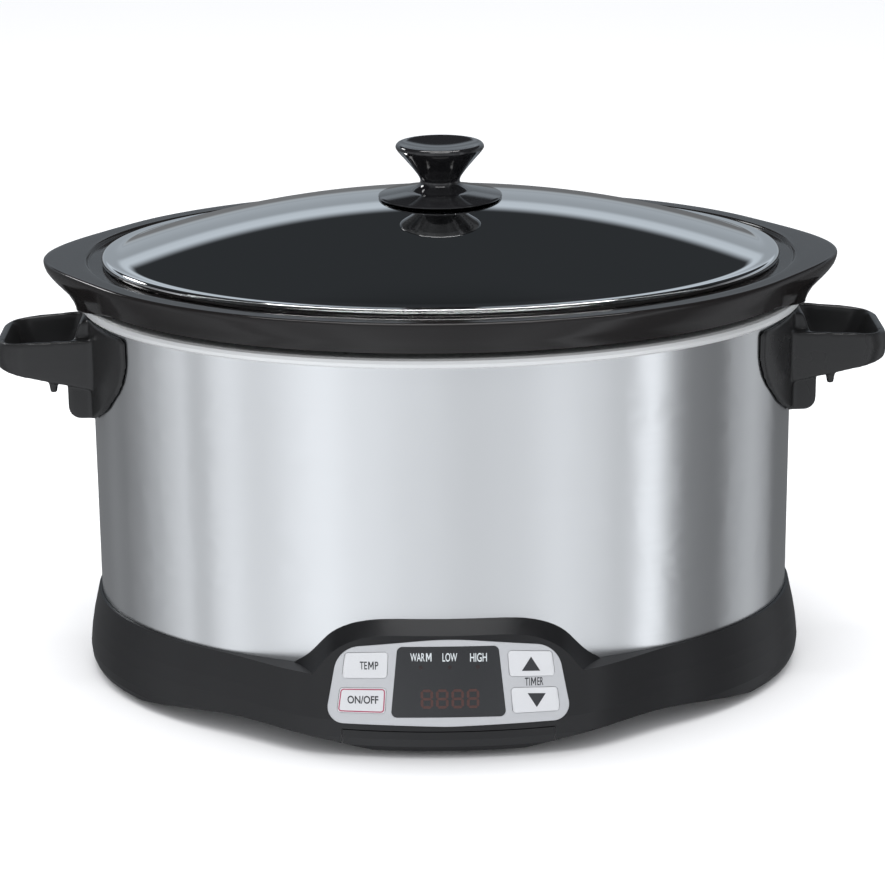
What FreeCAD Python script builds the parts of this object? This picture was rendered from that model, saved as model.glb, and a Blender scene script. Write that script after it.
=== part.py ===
import FreeCAD, Part
import math
import os
from FreeCAD import Matrix, Placement, Rotation, Vector

# Oval programmable slow cooker.  Millimetres, +Z up, -Y is the front (control panel).
# The origin is on the floor, on the vertical axis of the oval body.
# Every horizontal oval is the steel wrap's outside oval, grown or shrunk by an offset.

# ---- driving dimensions -------------------------------------------------------------
BODY_LENGTH = 349.2          # steel wrap, outside, along X
BODY_WIDTH = 261.6           # steel wrap, outside, along Y
WRAP_THICKNESS = 0.8
BASE_TOP = 40.3              # top lip of the plastic base
WRAP_BOTTOM = BASE_TOP - 7.0
BASE_BOTTOM = 3.5            # skirt of the plastic base, above the floor
BASE_WALL = 2.5
BASE_PLATE_BOTTOM = 12.0
BASE_PLATE_THICKNESS = 2.0
FOOT_RADIUS = 9.0
ARCH_TOP = 11.6              # the skirt arches up between the feet
ARCH_INSET = 81.6            # middle of each arch, in from the wrap's end
ARCH_RADIUS = 205.0

WELL_FLOOR = BASE_TOP + 6.9  # underside of the heating well
WELL_THICKNESS = 0.8
WELL_OFFSET = -11.0          # outside of the well's wall
RIM_TOP = 192.5              # rolled rim of the well
RIM_BOTTOM = RIM_TOP - 4.7
RIM_OVERHANG = 4.5

CROCK_SEAT_GAP = 0.3
CROCK_SIDE_GAP = 1.2         # between the well's wall and the crock
CROCK_BODY_OFFSET = WELL_OFFSET - WELL_THICKNESS - CROCK_SIDE_GAP
CROCK_UNDERSIDE = RIM_TOP + 2.7   # underside of the collar
CROCK_TOP = CROCK_UNDERSIDE + 15.8
CROCK_RIM_OFFSET = 10.4
CROCK_LEDGE = CROCK_TOP - 2.4     # the lid's seat
CROCK_MOUTH_OFFSET = CROCK_BODY_OFFSET - 3.0
CROCK_FLOOR = WELL_FLOOR + 10.8
LUG_REACH = 12.0             # how far each end lug passes the oval of the rim
LUG_HALF_WIDTH = 70.0

LID_LENGTH = BODY_LENGTH - 13.2
LID_WIDTH = BODY_WIDTH - 13.6
LID_THICKNESS = 4.1
LID_SEAT_GAP = 0.3
LID_FLANGE = 10.0
DOME_HEIGHT = 26.4
KNOB_RADIUS = 21.8
KNOB_HEIGHT = 26.6           # top of the knob above the dome
KNOB_WAIST_RADIUS = 9.7
KNOB_FOOT_RADIUS = 15.0
KNOB_DISH = 3.3
KNOB_DISC_RADIUS = 30.6
DISC_EDGE_GAP = 0.3          # between the disc's edge and the dome, at its nearest

HANDLE_PROJECTION = 46.9     # handle's end beyond the wrap's end
HANDLE_HALF_WIDTH = 33.0     # at the body
HANDLE_END_HALF_WIDTH = 28.0
HANDLE_WALL = 6.0
HANDLE_DROP = 12.3           # top of the handle below the rim of the well
LEG_DROP = 41.5              # foot of the handle's leg below the handle's top
LEG_PROJECTION = 10.7
LEG_HALF_WIDTH = 26.0

PANEL_TILT = math.degrees(math.atan2(9.0, 40.0))
PANEL_ORIGIN_Y_OFFSET = 14.2      # panel centre, in front of the wrap
PANEL_ORIGIN_Z = BASE_TOP - 2.3
PANEL_THICKNESS = 1.1
PANEL_RECESS = 0.3
PANEL_FIT = 0.2
PANEL_BED = 0.05             # glue line under the panel plate and the window
BUTTON_FIT = 0.35
BUTTON_TRAVEL = 0.5          # stroke of each key
BUMP_HALF_WIDTH = 58.0
BUMP_FADE = 54.0
BUMP_WALL = 3.4
LEDGE_WALL = 2.6
WRAP_GAP = 0.2               # between the base and the steel wrap
CHIN_HALF_WIDTH = 50.0
CHIN_TOP = 15.0
SEAM = 0.5

FIT = 0.15                   # small assembly clearance between fixed pieces
SCREW_CLEARANCE = 0.1
HIGH = 400.0                 # longer than anything it cuts

HALF_LENGTH = BODY_LENGTH / 2
HALF_WIDTH = BODY_WIDTH / 2
HANDLE_REACH = HALF_LENGTH + HANDLE_PROJECTION
HANDLE_TOP = RIM_BOTTOM - HANDLE_DROP
LEG_BOTTOM = HANDLE_TOP - LEG_DROP
LEG_REACH = HALF_LENGTH + LEG_PROJECTION
BASE_PLATE_TOP = BASE_PLATE_BOTTOM + BASE_PLATE_THICKNESS
GLASS_SEAT = CROCK_LEDGE + LID_SEAT_GAP
GLASS_RIM_TOP = GLASS_SEAT + LID_THICKNESS
DOME_TOP = GLASS_RIM_TOP + DOME_HEIGHT
GLASS_UNDERSIDE = DOME_TOP - LID_THICKNESS
KNOB_TOP = DOME_TOP + KNOB_HEIGHT


# ---- helpers --------------------------------------------------------------------------
def oval(offset, z):
    """Oval wire at height z, offset outward from the outside of the steel wrap."""
    curve = Part.Ellipse(Vector(0, 0, z), HALF_LENGTH + offset, HALF_WIDTH + offset)
    return Part.Wire(curve.toShape())


def oval_stack(levels):
    """Solid through ovals given as (offset, z), bottom to top."""
    return Part.makeLoft([oval(offset, z) for offset, z in levels], True, True)


def oval_prism(offset, bottom, top):
    return oval_stack([(offset, bottom), (offset, top)])


def oval_tube(outer, inner, bottom, top):
    return oval_prism(outer, bottom, top).cut(oval_prism(inner, bottom - 1, top + 1))


def box(x0, x1, y0, y1, z0, z1):
    return Part.makeBox(x1 - x0, y1 - y0, z1 - z0, Vector(x0, y0, z0))


def rod(radius, bottom, top, x=0.0, y=0.0):
    return Part.makeCylinder(radius, top - bottom, Vector(x, y, bottom))


def rounded_face(corners):
    """Flat face in XY from corners (x, y, radius); each corner is rounded by its radius."""
    edges = []
    count = len(corners)
    starts = []
    ends = []
    for i in range(count):
        here = Vector(corners[i][0], corners[i][1], 0)
        before = Vector(corners[i - 1][0], corners[i - 1][1], 0)
        after = Vector(corners[(i + 1) % count][0], corners[(i + 1) % count][1], 0)
        back = (before - here).normalize()
        ahead = (after - here).normalize()
        half = back.getAngle(ahead) / 2
        reach = corners[i][2] / math.tan(half)
        starts.append(here + back * reach)
        ends.append(here + ahead * reach)
        middle = (back + ahead).normalize()
        centre = here + middle * (corners[i][2] / math.sin(half))
        edges.append(Part.Arc(starts[i], centre - middle * corners[i][2], ends[i]).toShape())
    joined = []
    for i in range(count):
        joined.append(edges[i])
        if (starts[(i + 1) % count] - ends[i]).Length > 0.001:
            joined.append(Part.makeLine(ends[i], starts[(i + 1) % count]))
    return Part.Face(Part.Wire(joined))


def grown(corners, amount):
    """The same corners moved outward from the outline's middle by about amount each way."""
    mid_x = sum(c[0] for c in corners) / len(corners)
    mid_y = sum(c[1] for c in corners) / len(corners)
    moved = []
    for x, y, radius in corners:
        step_x = math.copysign(amount, x - mid_x) if abs(x - mid_x) > 0.01 else 0.0
        step_y = math.copysign(amount, y - mid_y)
        moved.append((x + step_x, y + step_y, max(radius + amount, 0.3)))
    return moved


def mirror_x(shape):
    return shape.mirror(Vector(0, 0, 0), Vector(1, 0, 0))


def group(solids):
    return Part.makeCompound(solids)


def both_sides(shape):
    return group([shape, mirror_x(shape)])


def smooth_line(points):
    curve = Part.BSplineCurve()
    curve.interpolate([Vector(*p) for p in points])
    return curve.toShape()


def on_oval_y(offset, x):
    """Distance of an oval's wall from the X axis at the station x."""
    return (HALF_WIDTH + offset) * math.sqrt(max(0.0, 1 - (x / (HALF_LENGTH + offset)) ** 2))


def on_oval_x(offset, y):
    return (HALF_LENGTH + offset) * math.sqrt(max(0.0, 1 - (y / (HALF_WIDTH + offset)) ** 2))


def spun(points):
    """Solid of revolution about Z from a closed (radius, z) outline."""
    wire = Part.makePolygon([Vector(r, 0, z) for r, z in points + points[:1]])
    return Part.Face(wire).revolve(Vector(0, 0, 0), Vector(0, 0, 1), 360)


def save(name, shape):
    shape.exportStep("parts/" + name + ".step")


# ---- the control panel's own frame: x across, y up the panel, z outward ---------------
PANEL_ORIGIN = Vector(0, -(HALF_WIDTH + PANEL_ORIGIN_Y_OFFSET), PANEL_ORIGIN_Z)
PANEL_PLACE = Placement(PANEL_ORIGIN, Rotation(Vector(1, 0, 0), 90 - PANEL_TILT))
PANEL_RADIUS = (HALF_LENGTH + 6.6) ** 2 / (HALF_WIDTH + 6.6)


def to_panel(shape):
    placed = shape.copy()
    placed.transformShape(PANEL_PLACE.toMatrix())
    return placed


def panel_prism(corners, low, high):
    """Prism along the panel's outward direction, in the panel's frame."""
    face = rounded_face(corners)
    face.translate(Vector(0, 0, low))
    return face.extrude(Vector(0, 0, high - low))


def panel_cylinder(depth):
    """Inside of the panel's curved face, moved inward by depth, in the panel's frame."""
    radius = PANEL_RADIUS - depth
    return Part.makeCylinder(radius, 120, Vector(0, -60, -PANEL_RADIUS), Vector(0, 1, 0))


def panel_skin(corners, outer_depth, inner_depth):
    """Curved slab between two depths under the panel's face, cut to an outline."""
    slab = panel_prism(corners, -30, 10).common(panel_cylinder(outer_depth))
    return slab.cut(panel_cylinder(inner_depth))


def panel_block(corners, outer_depth, back):
    """Piece with a curved front at outer_depth and a flat back at z = back."""
    return panel_prism(corners, back, 10).common(panel_cylinder(outer_depth))


PLATE_CORNERS = [(0, 21.4, 160), (51.5, 17.0, 13), (58.3, -18.4, 7.5), (0, -20.2, 160),
                 (-58.3, -18.4, 7.5), (-51.5, 17.0, 13)]
WINDOW_CORNERS = [(23.6, 17.6, 2.6), (27.0, -15.7, 2.6), (-27.0, -15.7, 2.6), (-23.6, 17.6, 2.6)]
BUTTON_CORNERS = {
    "temp_button": [(-28.2, 15.0, 1.6), (-28.9, 3.2, 1.6), (-49.6, 3.0, 1.6), (-48.0, 14.4, 1.6)],
    "power_button": [(-29.2, -2.0, 1.6), (-30.0, -13.6, 1.6), (-52.2, -13.2, 1.6), (-50.6, -2.0, 1.6)],
    "timer_up_button": [(28.2, 15.0, 1.6), (48.6, 14.0, 1.6), (50.0, 2.8, 1.6), (28.9, 3.2, 1.6)],
    "timer_down_button": [(29.5, -2.6, 1.6), (51.0, -3.0, 1.6), (52.2, -13.8, 1.6), (30.4, -14.2, 1.6)],
}
SWITCH_CENTRES = {
    "temp_button": (-38.7, 8.9),
    "power_button": (-40.5, -7.8),
    "timer_up_button": (38.9, 8.9),
    "timer_down_button": (40.8, -8.4),
}
POCKET_DEPTH = PANEL_RECESS + PANEL_THICKNESS
BOARD_FRONT = -14.5
BOARD_BACK = -16.1
BOARD_CORNERS = [(60, 8, 2), (60, -15.5, 2), (-60, -15.5, 2), (-60, 8, 2), (-50, 15, 4), (50, 15, 4)]
BUTTON_BACK = -9.3
SWITCH_TOP = BUTTON_BACK - BUTTON_TRAVEL - 1.4
PLUNGER_RADIUS = 1.6
PLUNGER_TIP = SWITCH_TOP - 0.8
SWITCH_HOLE_FLOOR = PLUNGER_TIP - BUTTON_TRAVEL - 0.7
BOARD_SCREW_X = 57.0
BOARD_SCREW_Y = 6.0


# ---- plastic base ---------------------------------------------------------------------
# The skirt from the bottom up: (height, offset of the oval ring, reach beyond the wrap at the panel)
SKIRT_LEVELS = [(BASE_BOTTOM, 5.0, 12.4), (BASE_BOTTOM + 3, 6.3, 14.8), (BASE_BOTTOM + 7.5, 6.8, 16.8),
                (BASE_TOP - 20.3, 5.9, 18.2), (BASE_TOP - 12.8, 4.6, 16.5), (BASE_TOP - 5.3, 2.9, 14.8),
                (BASE_TOP, 1.7, 13.6), (BASE_TOP + 19.7, -1.0, 9.2), (BASE_TOP + 26.7, -1.0, 7.6)]
SKIRT_STATIONS = 144
SKIRT_ROUNDED = 4            # levels with a full wall before the inside runs up to the wrap


def panel_share(x):
    """1 across the control panel, fading to 0 on both sides of it."""
    fade = min(max((abs(x) - BUMP_HALF_WIDTH) / BUMP_FADE, 0.0), 1.0)
    return 0.5 * (1 + math.cos(math.pi * fade))


def skirt_section(z, ring, reach):
    """Closed outline of the base at height z: an oval that swells forward at the panel."""
    points = []
    for i in range(SKIRT_STATIONS):
        angle = 2 * math.pi * i / SKIRT_STATIONS
        x = (HALF_LENGTH + ring) * math.cos(angle)
        y = (HALF_WIDTH + ring) * math.sin(angle)
        if y < 0:
            y -= (reach - ring) * panel_share(x)
        points.append(Vector(x, y, z))
    curve = Part.BSplineCurve()
    curve.interpolate(points, PeriodicFlag=True)
    return Part.Wire(curve.toShape())


def skirt_solid(ring_inset, panel_inset, drop):
    """Solid inside the base's surface moved inward, its bottom lowered by drop."""
    sections = []
    for i, (z, ring, reach) in enumerate(SKIRT_LEVELS):
        low = drop if i == 0 else 0
        sections.append(skirt_section(z - low, ring - ring_inset, reach - panel_inset))
    return Part.makeLoft(sections, True, True)


# Top outline over the panel: (x, height over the base's lip at the back plane, the same at the front).
LEDGE_LINE = [(0, 31.0, 18.6), (22, 30.3, 18.1), (42, 26.6, 14.5), (49, 23.3, 11.0), (55, 18.8, 6.5),
              (63, 9.0, -3.1), (70, 1.9, -10.5), (80, -3.3, -18.3), (95, -7.3, -24.3), (112, -10.3, -28.3)]
LEDGE_BACK = 10.8            # back plane of the ledge, behind the wrap's front
LEDGE_FRONT = 11.2           # front plane, ahead of it


def ledge_outline(y, heights, shrink):
    line = [(x, y, BASE_TOP + z - shrink) for x, z in heights]
    line = [(-x, py, pz) for x, py, pz in reversed(line[1:])] + line
    left = Vector(*line[0])
    right = Vector(*line[-1])
    low_left = Vector(left.x, y, -10)
    low_right = Vector(right.x, y, -10)
    return Part.Wire([smooth_line(line), Part.makeLine(right, low_right),
                      Part.makeLine(low_right, low_left), Part.makeLine(low_left, left)])


def ledge_solid(shrink):
    back = ledge_outline(-HALF_WIDTH + LEDGE_BACK, [(x, za) for x, za, zb in LEDGE_LINE], shrink)
    front = ledge_outline(-HALF_WIDTH - LEDGE_FRONT, [(x, zb) for x, za, zb in LEDGE_LINE], shrink)
    slope = Part.makeLoft([back, front], True, True)
    rear = Part.Face(back).extrude(Vector(0, 60, 0))
    fore_face = Part.Face(front).extrude(Vector(0, -20, 0))
    return slope.fuse([rear, fore_face])


def arch_cutter():
    cutters = []
    for side in (-1, 1):
        start = Vector(side * (HALF_LENGTH - ARCH_INSET), -HIGH / 2, ARCH_TOP - ARCH_RADIUS)
        cutters.append(Part.makeCylinder(ARCH_RADIUS, HIGH, start, Vector(0, 1, 0)))
    return group(cutters)


def base_shell():
    """Base skirt and control bump as one hollow shell, before its openings."""
    below_lip = box(-HIGH, HIGH, -HIGH, HIGH, -10, BASE_TOP)
    outside = skirt_solid(0, 0, 0).common(below_lip.fuse(ledge_solid(0)))
    panel_room = skirt_solid(BASE_WALL, BUMP_WALL, 2).common(ledge_solid(LEDGE_WALL))
    ring_levels = [(ring - BASE_WALL, z) for z, ring, reach in SKIRT_LEVELS[:SKIRT_ROUNDED]]
    ring_levels[0] = (ring_levels[0][0], ring_levels[0][1] - 2)
    ring_room = oval_stack(ring_levels + [(WRAP_GAP, WRAP_BOTTOM - 0.3), (WRAP_GAP, BASE_TOP + 2)])
    shell = outside.cut(ring_room).cut(panel_room)
    return shell.cut(oval_prism(WRAP_GAP, WRAP_BOTTOM - 3.3, BASE_TOP + 50))


def four_places(x, y):
    return [(x, y), (-x, y), (x, -y), (-x, -y)]


BOSS_PLACES = four_places(HALF_LENGTH - 46.6, HALF_WIDTH - 54.8)
BOSS_RADIUS = 5.0
BASE_SCREW_RADIUS = 1.8


def base_posts():
    """Screw posts for the base plate, each webbed out to the skirt."""
    posts = []
    top = WRAP_BOTTOM - 3.3
    skirt = oval_prism(3.0, BASE_PLATE_TOP, top)
    for x, y in BOSS_PLACES:
        angle = math.degrees(math.atan2(y * (HALF_LENGTH / HALF_WIDTH), x))
        web = box(0, 30, -1.5, 1.5, BASE_PLATE_TOP, top)
        web.rotate(Vector(0, 0, 0), Vector(0, 0, 1), angle)
        web.translate(Vector(x, y, 0))
        post = rod(BOSS_RADIUS, BASE_PLATE_TOP, top, x, y).fuse(web.common(skirt))
        posts.append(post.cut(rod(BASE_SCREW_RADIUS + SCREW_CLEARANCE, BASE_PLATE_TOP - 1, top - 3, x, y)))
    return posts


WRAP_SHELF = [(1.5, WRAP_BOTTOM - 3.2), (1.5, WRAP_BOTTOM)]
GLAND_Z = 22.0
GLAND_RADIUS = 7.0
GLAND_BORE = 3.5
GLAND_FLANGE = 9.0
GLAND_NOSE = 5.6             # radius of the nose round the bore
GLAND_NOSE_LENGTH = 7.0      # the nose's end beyond the base's wall


def gland_y():
    return HALF_WIDTH + 6.0


def along_y(radius, y0, y1, x, z):
    return Part.makeCylinder(radius, y1 - y0, Vector(x, y0, z), Vector(0, 1, 0))


CHIN_SCREW_X = 35.0
CHIN_SCREW_Y_OFFSET = 1.0    # ahead of the wrap's front
CHIN_SCREW_RADIUS = 1.5


def chin_region(half_width, top, bottom=-5.0):
    return box(-half_width, half_width, -HALF_WIDTH - 30, -HALF_WIDTH - 6.0, bottom, top)


def make_base_housing(shell):
    shelf = oval_stack(WRAP_SHELF).cut(oval_prism(-3.0, WRAP_BOTTOM - 13, WRAP_BOTTOM + 17))
    shelf = shelf.cut(box(-BUMP_HALF_WIDTH - 4, BUMP_HALF_WIDTH + 4, -HIGH, -60, 0, BASE_TOP + 20))
    housing = shell.fuse([shelf] + base_posts())
    housing = housing.cut(chin_region(CHIN_HALF_WIDTH + SEAM, CHIN_TOP + SEAM))
    housing = housing.cut(along_y(GLAND_RADIUS + FIT, HALF_WIDTH - 40, HALF_WIDTH + 30, 0, GLAND_Z))
    pocket = panel_prism(grown(PLATE_CORNERS, PANEL_FIT), -30, 10).cut(panel_cylinder(POCKET_DEPTH))
    openings = [pocket, panel_prism(grown(WINDOW_CORNERS, -1.5), -13, 10)]
    for corners in BUTTON_CORNERS.values():
        openings.append(panel_prism(grown(corners, BUTTON_FIT), -13, 10))
    for opening in openings:
        housing = housing.cut(to_panel(opening))
    for side in (-1, 1):
        boss = Part.makeCylinder(2.6, 8.0, Vector(side * BOARD_SCREW_X, BOARD_SCREW_Y, BOARD_FRONT))
        boss = boss.common(panel_cylinder(POCKET_DEPTH + 0.6))
        pilot = Part.makeCylinder(1.1, 5.0, Vector(side * BOARD_SCREW_X, BOARD_SCREW_Y, BOARD_FRONT - 1))
        housing = housing.fuse(to_panel(boss)).cut(to_panel(pilot))
    return housing


def make_chin_cover(shell):
    chin = shell.common(chin_region(CHIN_HALF_WIDTH, CHIN_TOP))
    tabs = box(-CHIN_HALF_WIDTH + 4, CHIN_HALF_WIDTH - 4, -HALF_WIDTH - 12.5, -HALF_WIDTH + 6.0, 9.4, 11.7)
    tabs = tabs.common(skirt_solid(BASE_WALL, BUMP_WALL - 1.0, 2))
    chin = chin.fuse(tabs)
    for side in (-1, 1):
        chin = chin.cut(rod(CHIN_SCREW_RADIUS + SCREW_CLEARANCE, 5, 20,
                            side * CHIN_SCREW_X, -HALF_WIDTH - CHIN_SCREW_Y_OFFSET))
    return chin


# ---- steel wrap, heating well, heater ---------------------------------------------------
HANDLE_SCREW_Z = (HANDLE_TOP - 29.5, HANDLE_TOP - 15.5)
HANDLE_SCREW_RADIUS = 2.0
NOTCH_HALF_WIDTH = 54.0
NOTCH_TOP = BASE_TOP + 13.7


def along_x(radius, x0, x1, y, z):
    return Part.makeCylinder(radius, x1 - x0, Vector(x0, y, z), Vector(1, 0, 0))


def handle_screw_holes(radius):
    return group([along_x(radius, -HANDLE_REACH, HANDLE_REACH, 0, z) for z in HANDLE_SCREW_Z])


def make_steel_wrap():
    wrap = oval_tube(0, -WRAP_THICKNESS, WRAP_BOTTOM, RIM_TOP - 1.2)
    wrap = wrap.cut(box(-NOTCH_HALF_WIDTH, NOTCH_HALF_WIDTH, -HIGH, 0, 0, NOTCH_TOP))
    return wrap.cut(handle_screw_holes(HANDLE_SCREW_RADIUS + SCREW_CLEARANCE))


SENSOR_X = 46.0
SENSOR_RADIUS = 7.0


def make_heating_well():
    inside = WELL_OFFSET - WELL_THICKNESS
    pan = oval_stack([(WELL_OFFSET - 1.6, WELL_FLOOR), (WELL_OFFSET, WELL_FLOOR + 2),
                      (WELL_OFFSET, RIM_TOP)])
    rim = oval_stack([(RIM_OVERHANG - 1.0, RIM_BOTTOM), (RIM_OVERHANG - 0.1, RIM_BOTTOM + 0.9),
                      (RIM_OVERHANG, RIM_BOTTOM + 2.4), (RIM_OVERHANG - 0.5, RIM_TOP - 0.8),
                      (RIM_OVERHANG - 1.8, RIM_TOP)])
    rim = rim.cut(oval_prism(0.4, RIM_BOTTOM - 1, RIM_TOP - WELL_THICKNESS))
    well = pan.fuse(rim)
    floor_top = WELL_FLOOR + WELL_THICKNESS
    well = well.cut(oval_stack([(inside - 1.6, floor_top), (inside, floor_top + 2),
                                (inside, RIM_TOP + 5)]))
    return well.cut(rod(SENSOR_RADIUS + 1, WELL_FLOOR - 5, WELL_FLOOR + 12, SENSOR_X, 0))


BAND_BOTTOM = WELL_FLOOR + 10.8
BAND_TOP = BAND_BOTTOM + 54.0
BAND_OFFSET = WELL_OFFSET + 0.2
BAND_THICKNESS = 1.8
BAND_GAP = 8.0               # half of the opening at the rear where the clamps pull
BLANKET_OFFSET = BAND_OFFSET + BAND_THICKNESS + 0.8
BLANKET_THICKNESS = 3.0


def rear_gap(half):
    return box(-half, half, 0, HIGH, 0, HIGH)


def make_heating_band():
    band = oval_tube(BAND_OFFSET + BAND_THICKNESS, BAND_OFFSET, BAND_BOTTOM, BAND_TOP)
    return band.cut(rear_gap(BAND_GAP))


def band_rear_y():
    return on_oval_y(BAND_OFFSET + BAND_THICKNESS, 0)


def make_band_clamps():
    """Two spring links that pull the band's ends together across the rear gap."""
    links = []
    y = band_rear_y() + 0.9
    for z in (BAND_BOTTOM + 12, BAND_TOP - 12):
        link = along_x(0.8, -BAND_GAP - 6, BAND_GAP + 6, y, z)
        coil = along_x(1.5, -BAND_GAP + 2, BAND_GAP - 2, y, z)
        links.append(link.fuse(coil))
    return group(links)


def make_insulation():
    blanket = oval_tube(BLANKET_OFFSET + BLANKET_THICKNESS, BLANKET_OFFSET, BAND_BOTTOM - 2, BAND_TOP + 10)
    return blanket.cut(rear_gap(BAND_GAP + 10))


TERMINAL_X = 14.5


def make_heater_terminals():
    """Tab terminals standing on the band's outside near its rear gap."""
    tabs = []
    for side in (-1, 1):
        y = on_oval_y(BAND_OFFSET + BAND_THICKNESS, TERMINAL_X)
        tabs.append(box(side * TERMINAL_X - 3, side * TERMINAL_X + 3, y + 0.15, y + 1.0,
                        BAND_BOTTOM - 8, BAND_BOTTOM + 10))
    return group(tabs)


REFLECTOR_OFFSET = -22.0
REFLECTOR_FLOOR = WELL_FLOOR - 6.2
TIE_RADIUS = 3.0


def make_reflector():
    pan = oval_prism(REFLECTOR_OFFSET, REFLECTOR_FLOOR, WELL_FLOOR)
    pan = pan.cut(oval_prism(REFLECTOR_OFFSET - 0.8, REFLECTOR_FLOOR + 0.8, WELL_FLOOR + 1))
    pan = pan.cut(rod(TIE_RADIUS + 0.5, REFLECTOR_FLOOR - 5, WELL_FLOOR + 5))
    return pan.cut(rod(SENSOR_RADIUS + 0.5, REFLECTOR_FLOOR - 5, WELL_FLOOR + 5, SENSOR_X, 0))


def make_tie_stud():
    """Stud welded under the well; its flange spreads the pull."""
    return rod(11, WELL_FLOOR - 2, WELL_FLOOR).fuse(rod(TIE_RADIUS, BASE_PLATE_BOTTOM - 7, WELL_FLOOR - 1))


def make_tie_spacer():
    tube = rod(7, BASE_PLATE_TOP, REFLECTOR_FLOOR)
    return tube.cut(rod(TIE_RADIUS + 0.4, 0, 60))


def hexagon(across_flats, bottom, top):
    corners = []
    for i in range(7):
        angle = math.radians(60 * i)
        corner = Vector(math.cos(angle), math.sin(angle), 0) * (across_flats / math.sqrt(3))
        corners.append(corner + Vector(0, 0, bottom))
    return Part.Face(Part.makePolygon(corners)).extrude(Vector(0, 0, top - bottom))


def make_tie_nut():
    return hexagon(10, BASE_PLATE_BOTTOM - 5, BASE_PLATE_BOTTOM).cut(rod(TIE_RADIUS + 0.05, 0, 20))


SENSOR_BRACKET_TOP = REFLECTOR_FLOOR - 7.5


def make_sensor():
    """Spring-loaded probe that touches the underside of the crock."""
    cap = rod(SENSOR_RADIUS, WELL_FLOOR - 1.5, WELL_FLOOR + WELL_THICKNESS, SENSOR_X, 0)
    return cap.fuse(rod(2.5, SENSOR_BRACKET_TOP - 3, WELL_FLOOR - 1, SENSOR_X, 0))


def make_sensor_spring():
    """Closed coil between the bracket and the probe's head."""
    tube = rod(5.0, SENSOR_BRACKET_TOP + 0.1, WELL_FLOOR - 1.6, SENSOR_X, 0)
    return tube.cut(rod(3.6, 20, 60, SENSOR_X, 0))


def make_sensor_bracket():
    """Strap under the reflector that carries the probe."""
    floor = box(SENSOR_X - 16, SENSOR_X + 16, -6, 6, SENSOR_BRACKET_TOP - 1.2, SENSOR_BRACKET_TOP)
    legs = [box(SENSOR_X + s * 16 - (1.2 if s > 0 else 0), SENSOR_X + s * 16 + (0 if s > 0 else 1.2), -6, 6,
                SENSOR_BRACKET_TOP - 1, REFLECTOR_FLOOR) for s in (-1, 1)]
    bracket = floor.fuse(legs)
    return bracket.cut(rod(2.9, 20, 60, SENSOR_X, 0))


FUSE_X = -52.0


def make_thermal_fuse():
    body = along_x(2.0, FUSE_X - 6, FUSE_X + 6, 0, REFLECTOR_FLOOR - 2.4)
    return body.fuse(along_x(0.5, FUSE_X - 24, FUSE_X + 24, 0, REFLECTOR_FLOOR - 2.4))


def make_fuse_clip():
    clip = box(FUSE_X - 4, FUSE_X + 4, -4, 4, REFLECTOR_FLOOR - 5.2, REFLECTOR_FLOOR)
    return clip.cut(along_x(2.15, FUSE_X - 10, FUSE_X + 10, 0, REFLECTOR_FLOOR - 2.4))


# ---- base plate, feet, gland ------------------------------------------------------------
FOOT_PLACES = four_places(HALF_LENGTH - 66.6, HALF_WIDTH - 68.8)
POWER_BOARD_BOTTOM = 20.0
POWER_BOARD_TOP = 21.6
POWER_BOARD = (-96.0, -16.0, -34.0, 40.0)
POWER_POSTS = [(POWER_BOARD[0] + 5, POWER_BOARD[2] + 5), (POWER_BOARD[1] - 5, POWER_BOARD[2] + 5),
               (POWER_BOARD[0] + 5, POWER_BOARD[3] - 5), (POWER_BOARD[1] - 5, POWER_BOARD[3] - 5)]
VENT_ROWS = 6


def make_base_plate():
    plate = oval_prism(3.6, BASE_PLATE_BOTTOM, BASE_PLATE_TOP)
    for x, y in POWER_POSTS:
        plate = plate.fuse(rod(3.5, BASE_PLATE_TOP - 1, POWER_BOARD_BOTTOM, x, y))
    for side in (-1, 1):
        place = (side * CHIN_SCREW_X, -HALF_WIDTH - CHIN_SCREW_Y_OFFSET)
        plate = plate.fuse(rod(3.2, BASE_PLATE_TOP - 1, BASE_PLATE_TOP + 3.5, *place))
        plate = plate.cut(rod(CHIN_SCREW_RADIUS + SCREW_CLEARANCE, 5, BASE_PLATE_TOP + 3, *place))
    for x, y in POWER_POSTS:
        plate = plate.cut(rod(1.3, BASE_PLATE_TOP, 40, x, y))
    for x, y in BOSS_PLACES:
        plate = plate.cut(rod(BASE_SCREW_RADIUS + 0.3, 0, 40, x, y))
    for x, y in FOOT_PLACES:
        plate = plate.cut(rod(3.0 + FIT, 0, 40, x, y))
    plate = plate.cut(rod(TIE_RADIUS + 0.4, 0, 40))
    slots = []
    for i in range(VENT_ROWS):
        y = -42.5 + 17 * i
        slots.append(box(64, 92, y - 2, y + 2, 0, 40))
    return plate.cut(group(slots))


def make_feet():
    """Rubber feet, each with a stem and a bead snapped through the base plate."""
    feet = []
    for x, y in FOOT_PLACES:
        pad = Part.makeCone(FOOT_RADIUS - 1.5, FOOT_RADIUS, BASE_PLATE_BOTTOM, Vector(x, y, 0))
        stem = rod(3.0, BASE_PLATE_BOTTOM - 1, BASE_PLATE_TOP + 3, x, y)
        bead = rod(4.2, BASE_PLATE_TOP + 0.1, BASE_PLATE_TOP + 2, x, y)
        feet.append(pad.fuse([stem, bead]))
    return group(feet)


def pan_screw(radius, head_radius, head_bottom, head_height, tip):
    """Upright screw on the Z axis with its head below and its tip above."""
    head = rod(head_radius, head_bottom, head_bottom + head_height)
    shank = rod(radius, head_bottom + head_height - 0.1, tip)
    slot_depth = 0.45 * head_height
    drive = box(-0.6 * head_radius, 0.6 * head_radius, -0.12 * head_radius, 0.12 * head_radius,
                head_bottom - 1, head_bottom + slot_depth)
    cross = drive.copy()
    cross.rotate(Vector(0, 0, 0), Vector(0, 0, 1), 90)
    return head.fuse(shank).cut(drive.fuse(cross))


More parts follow.
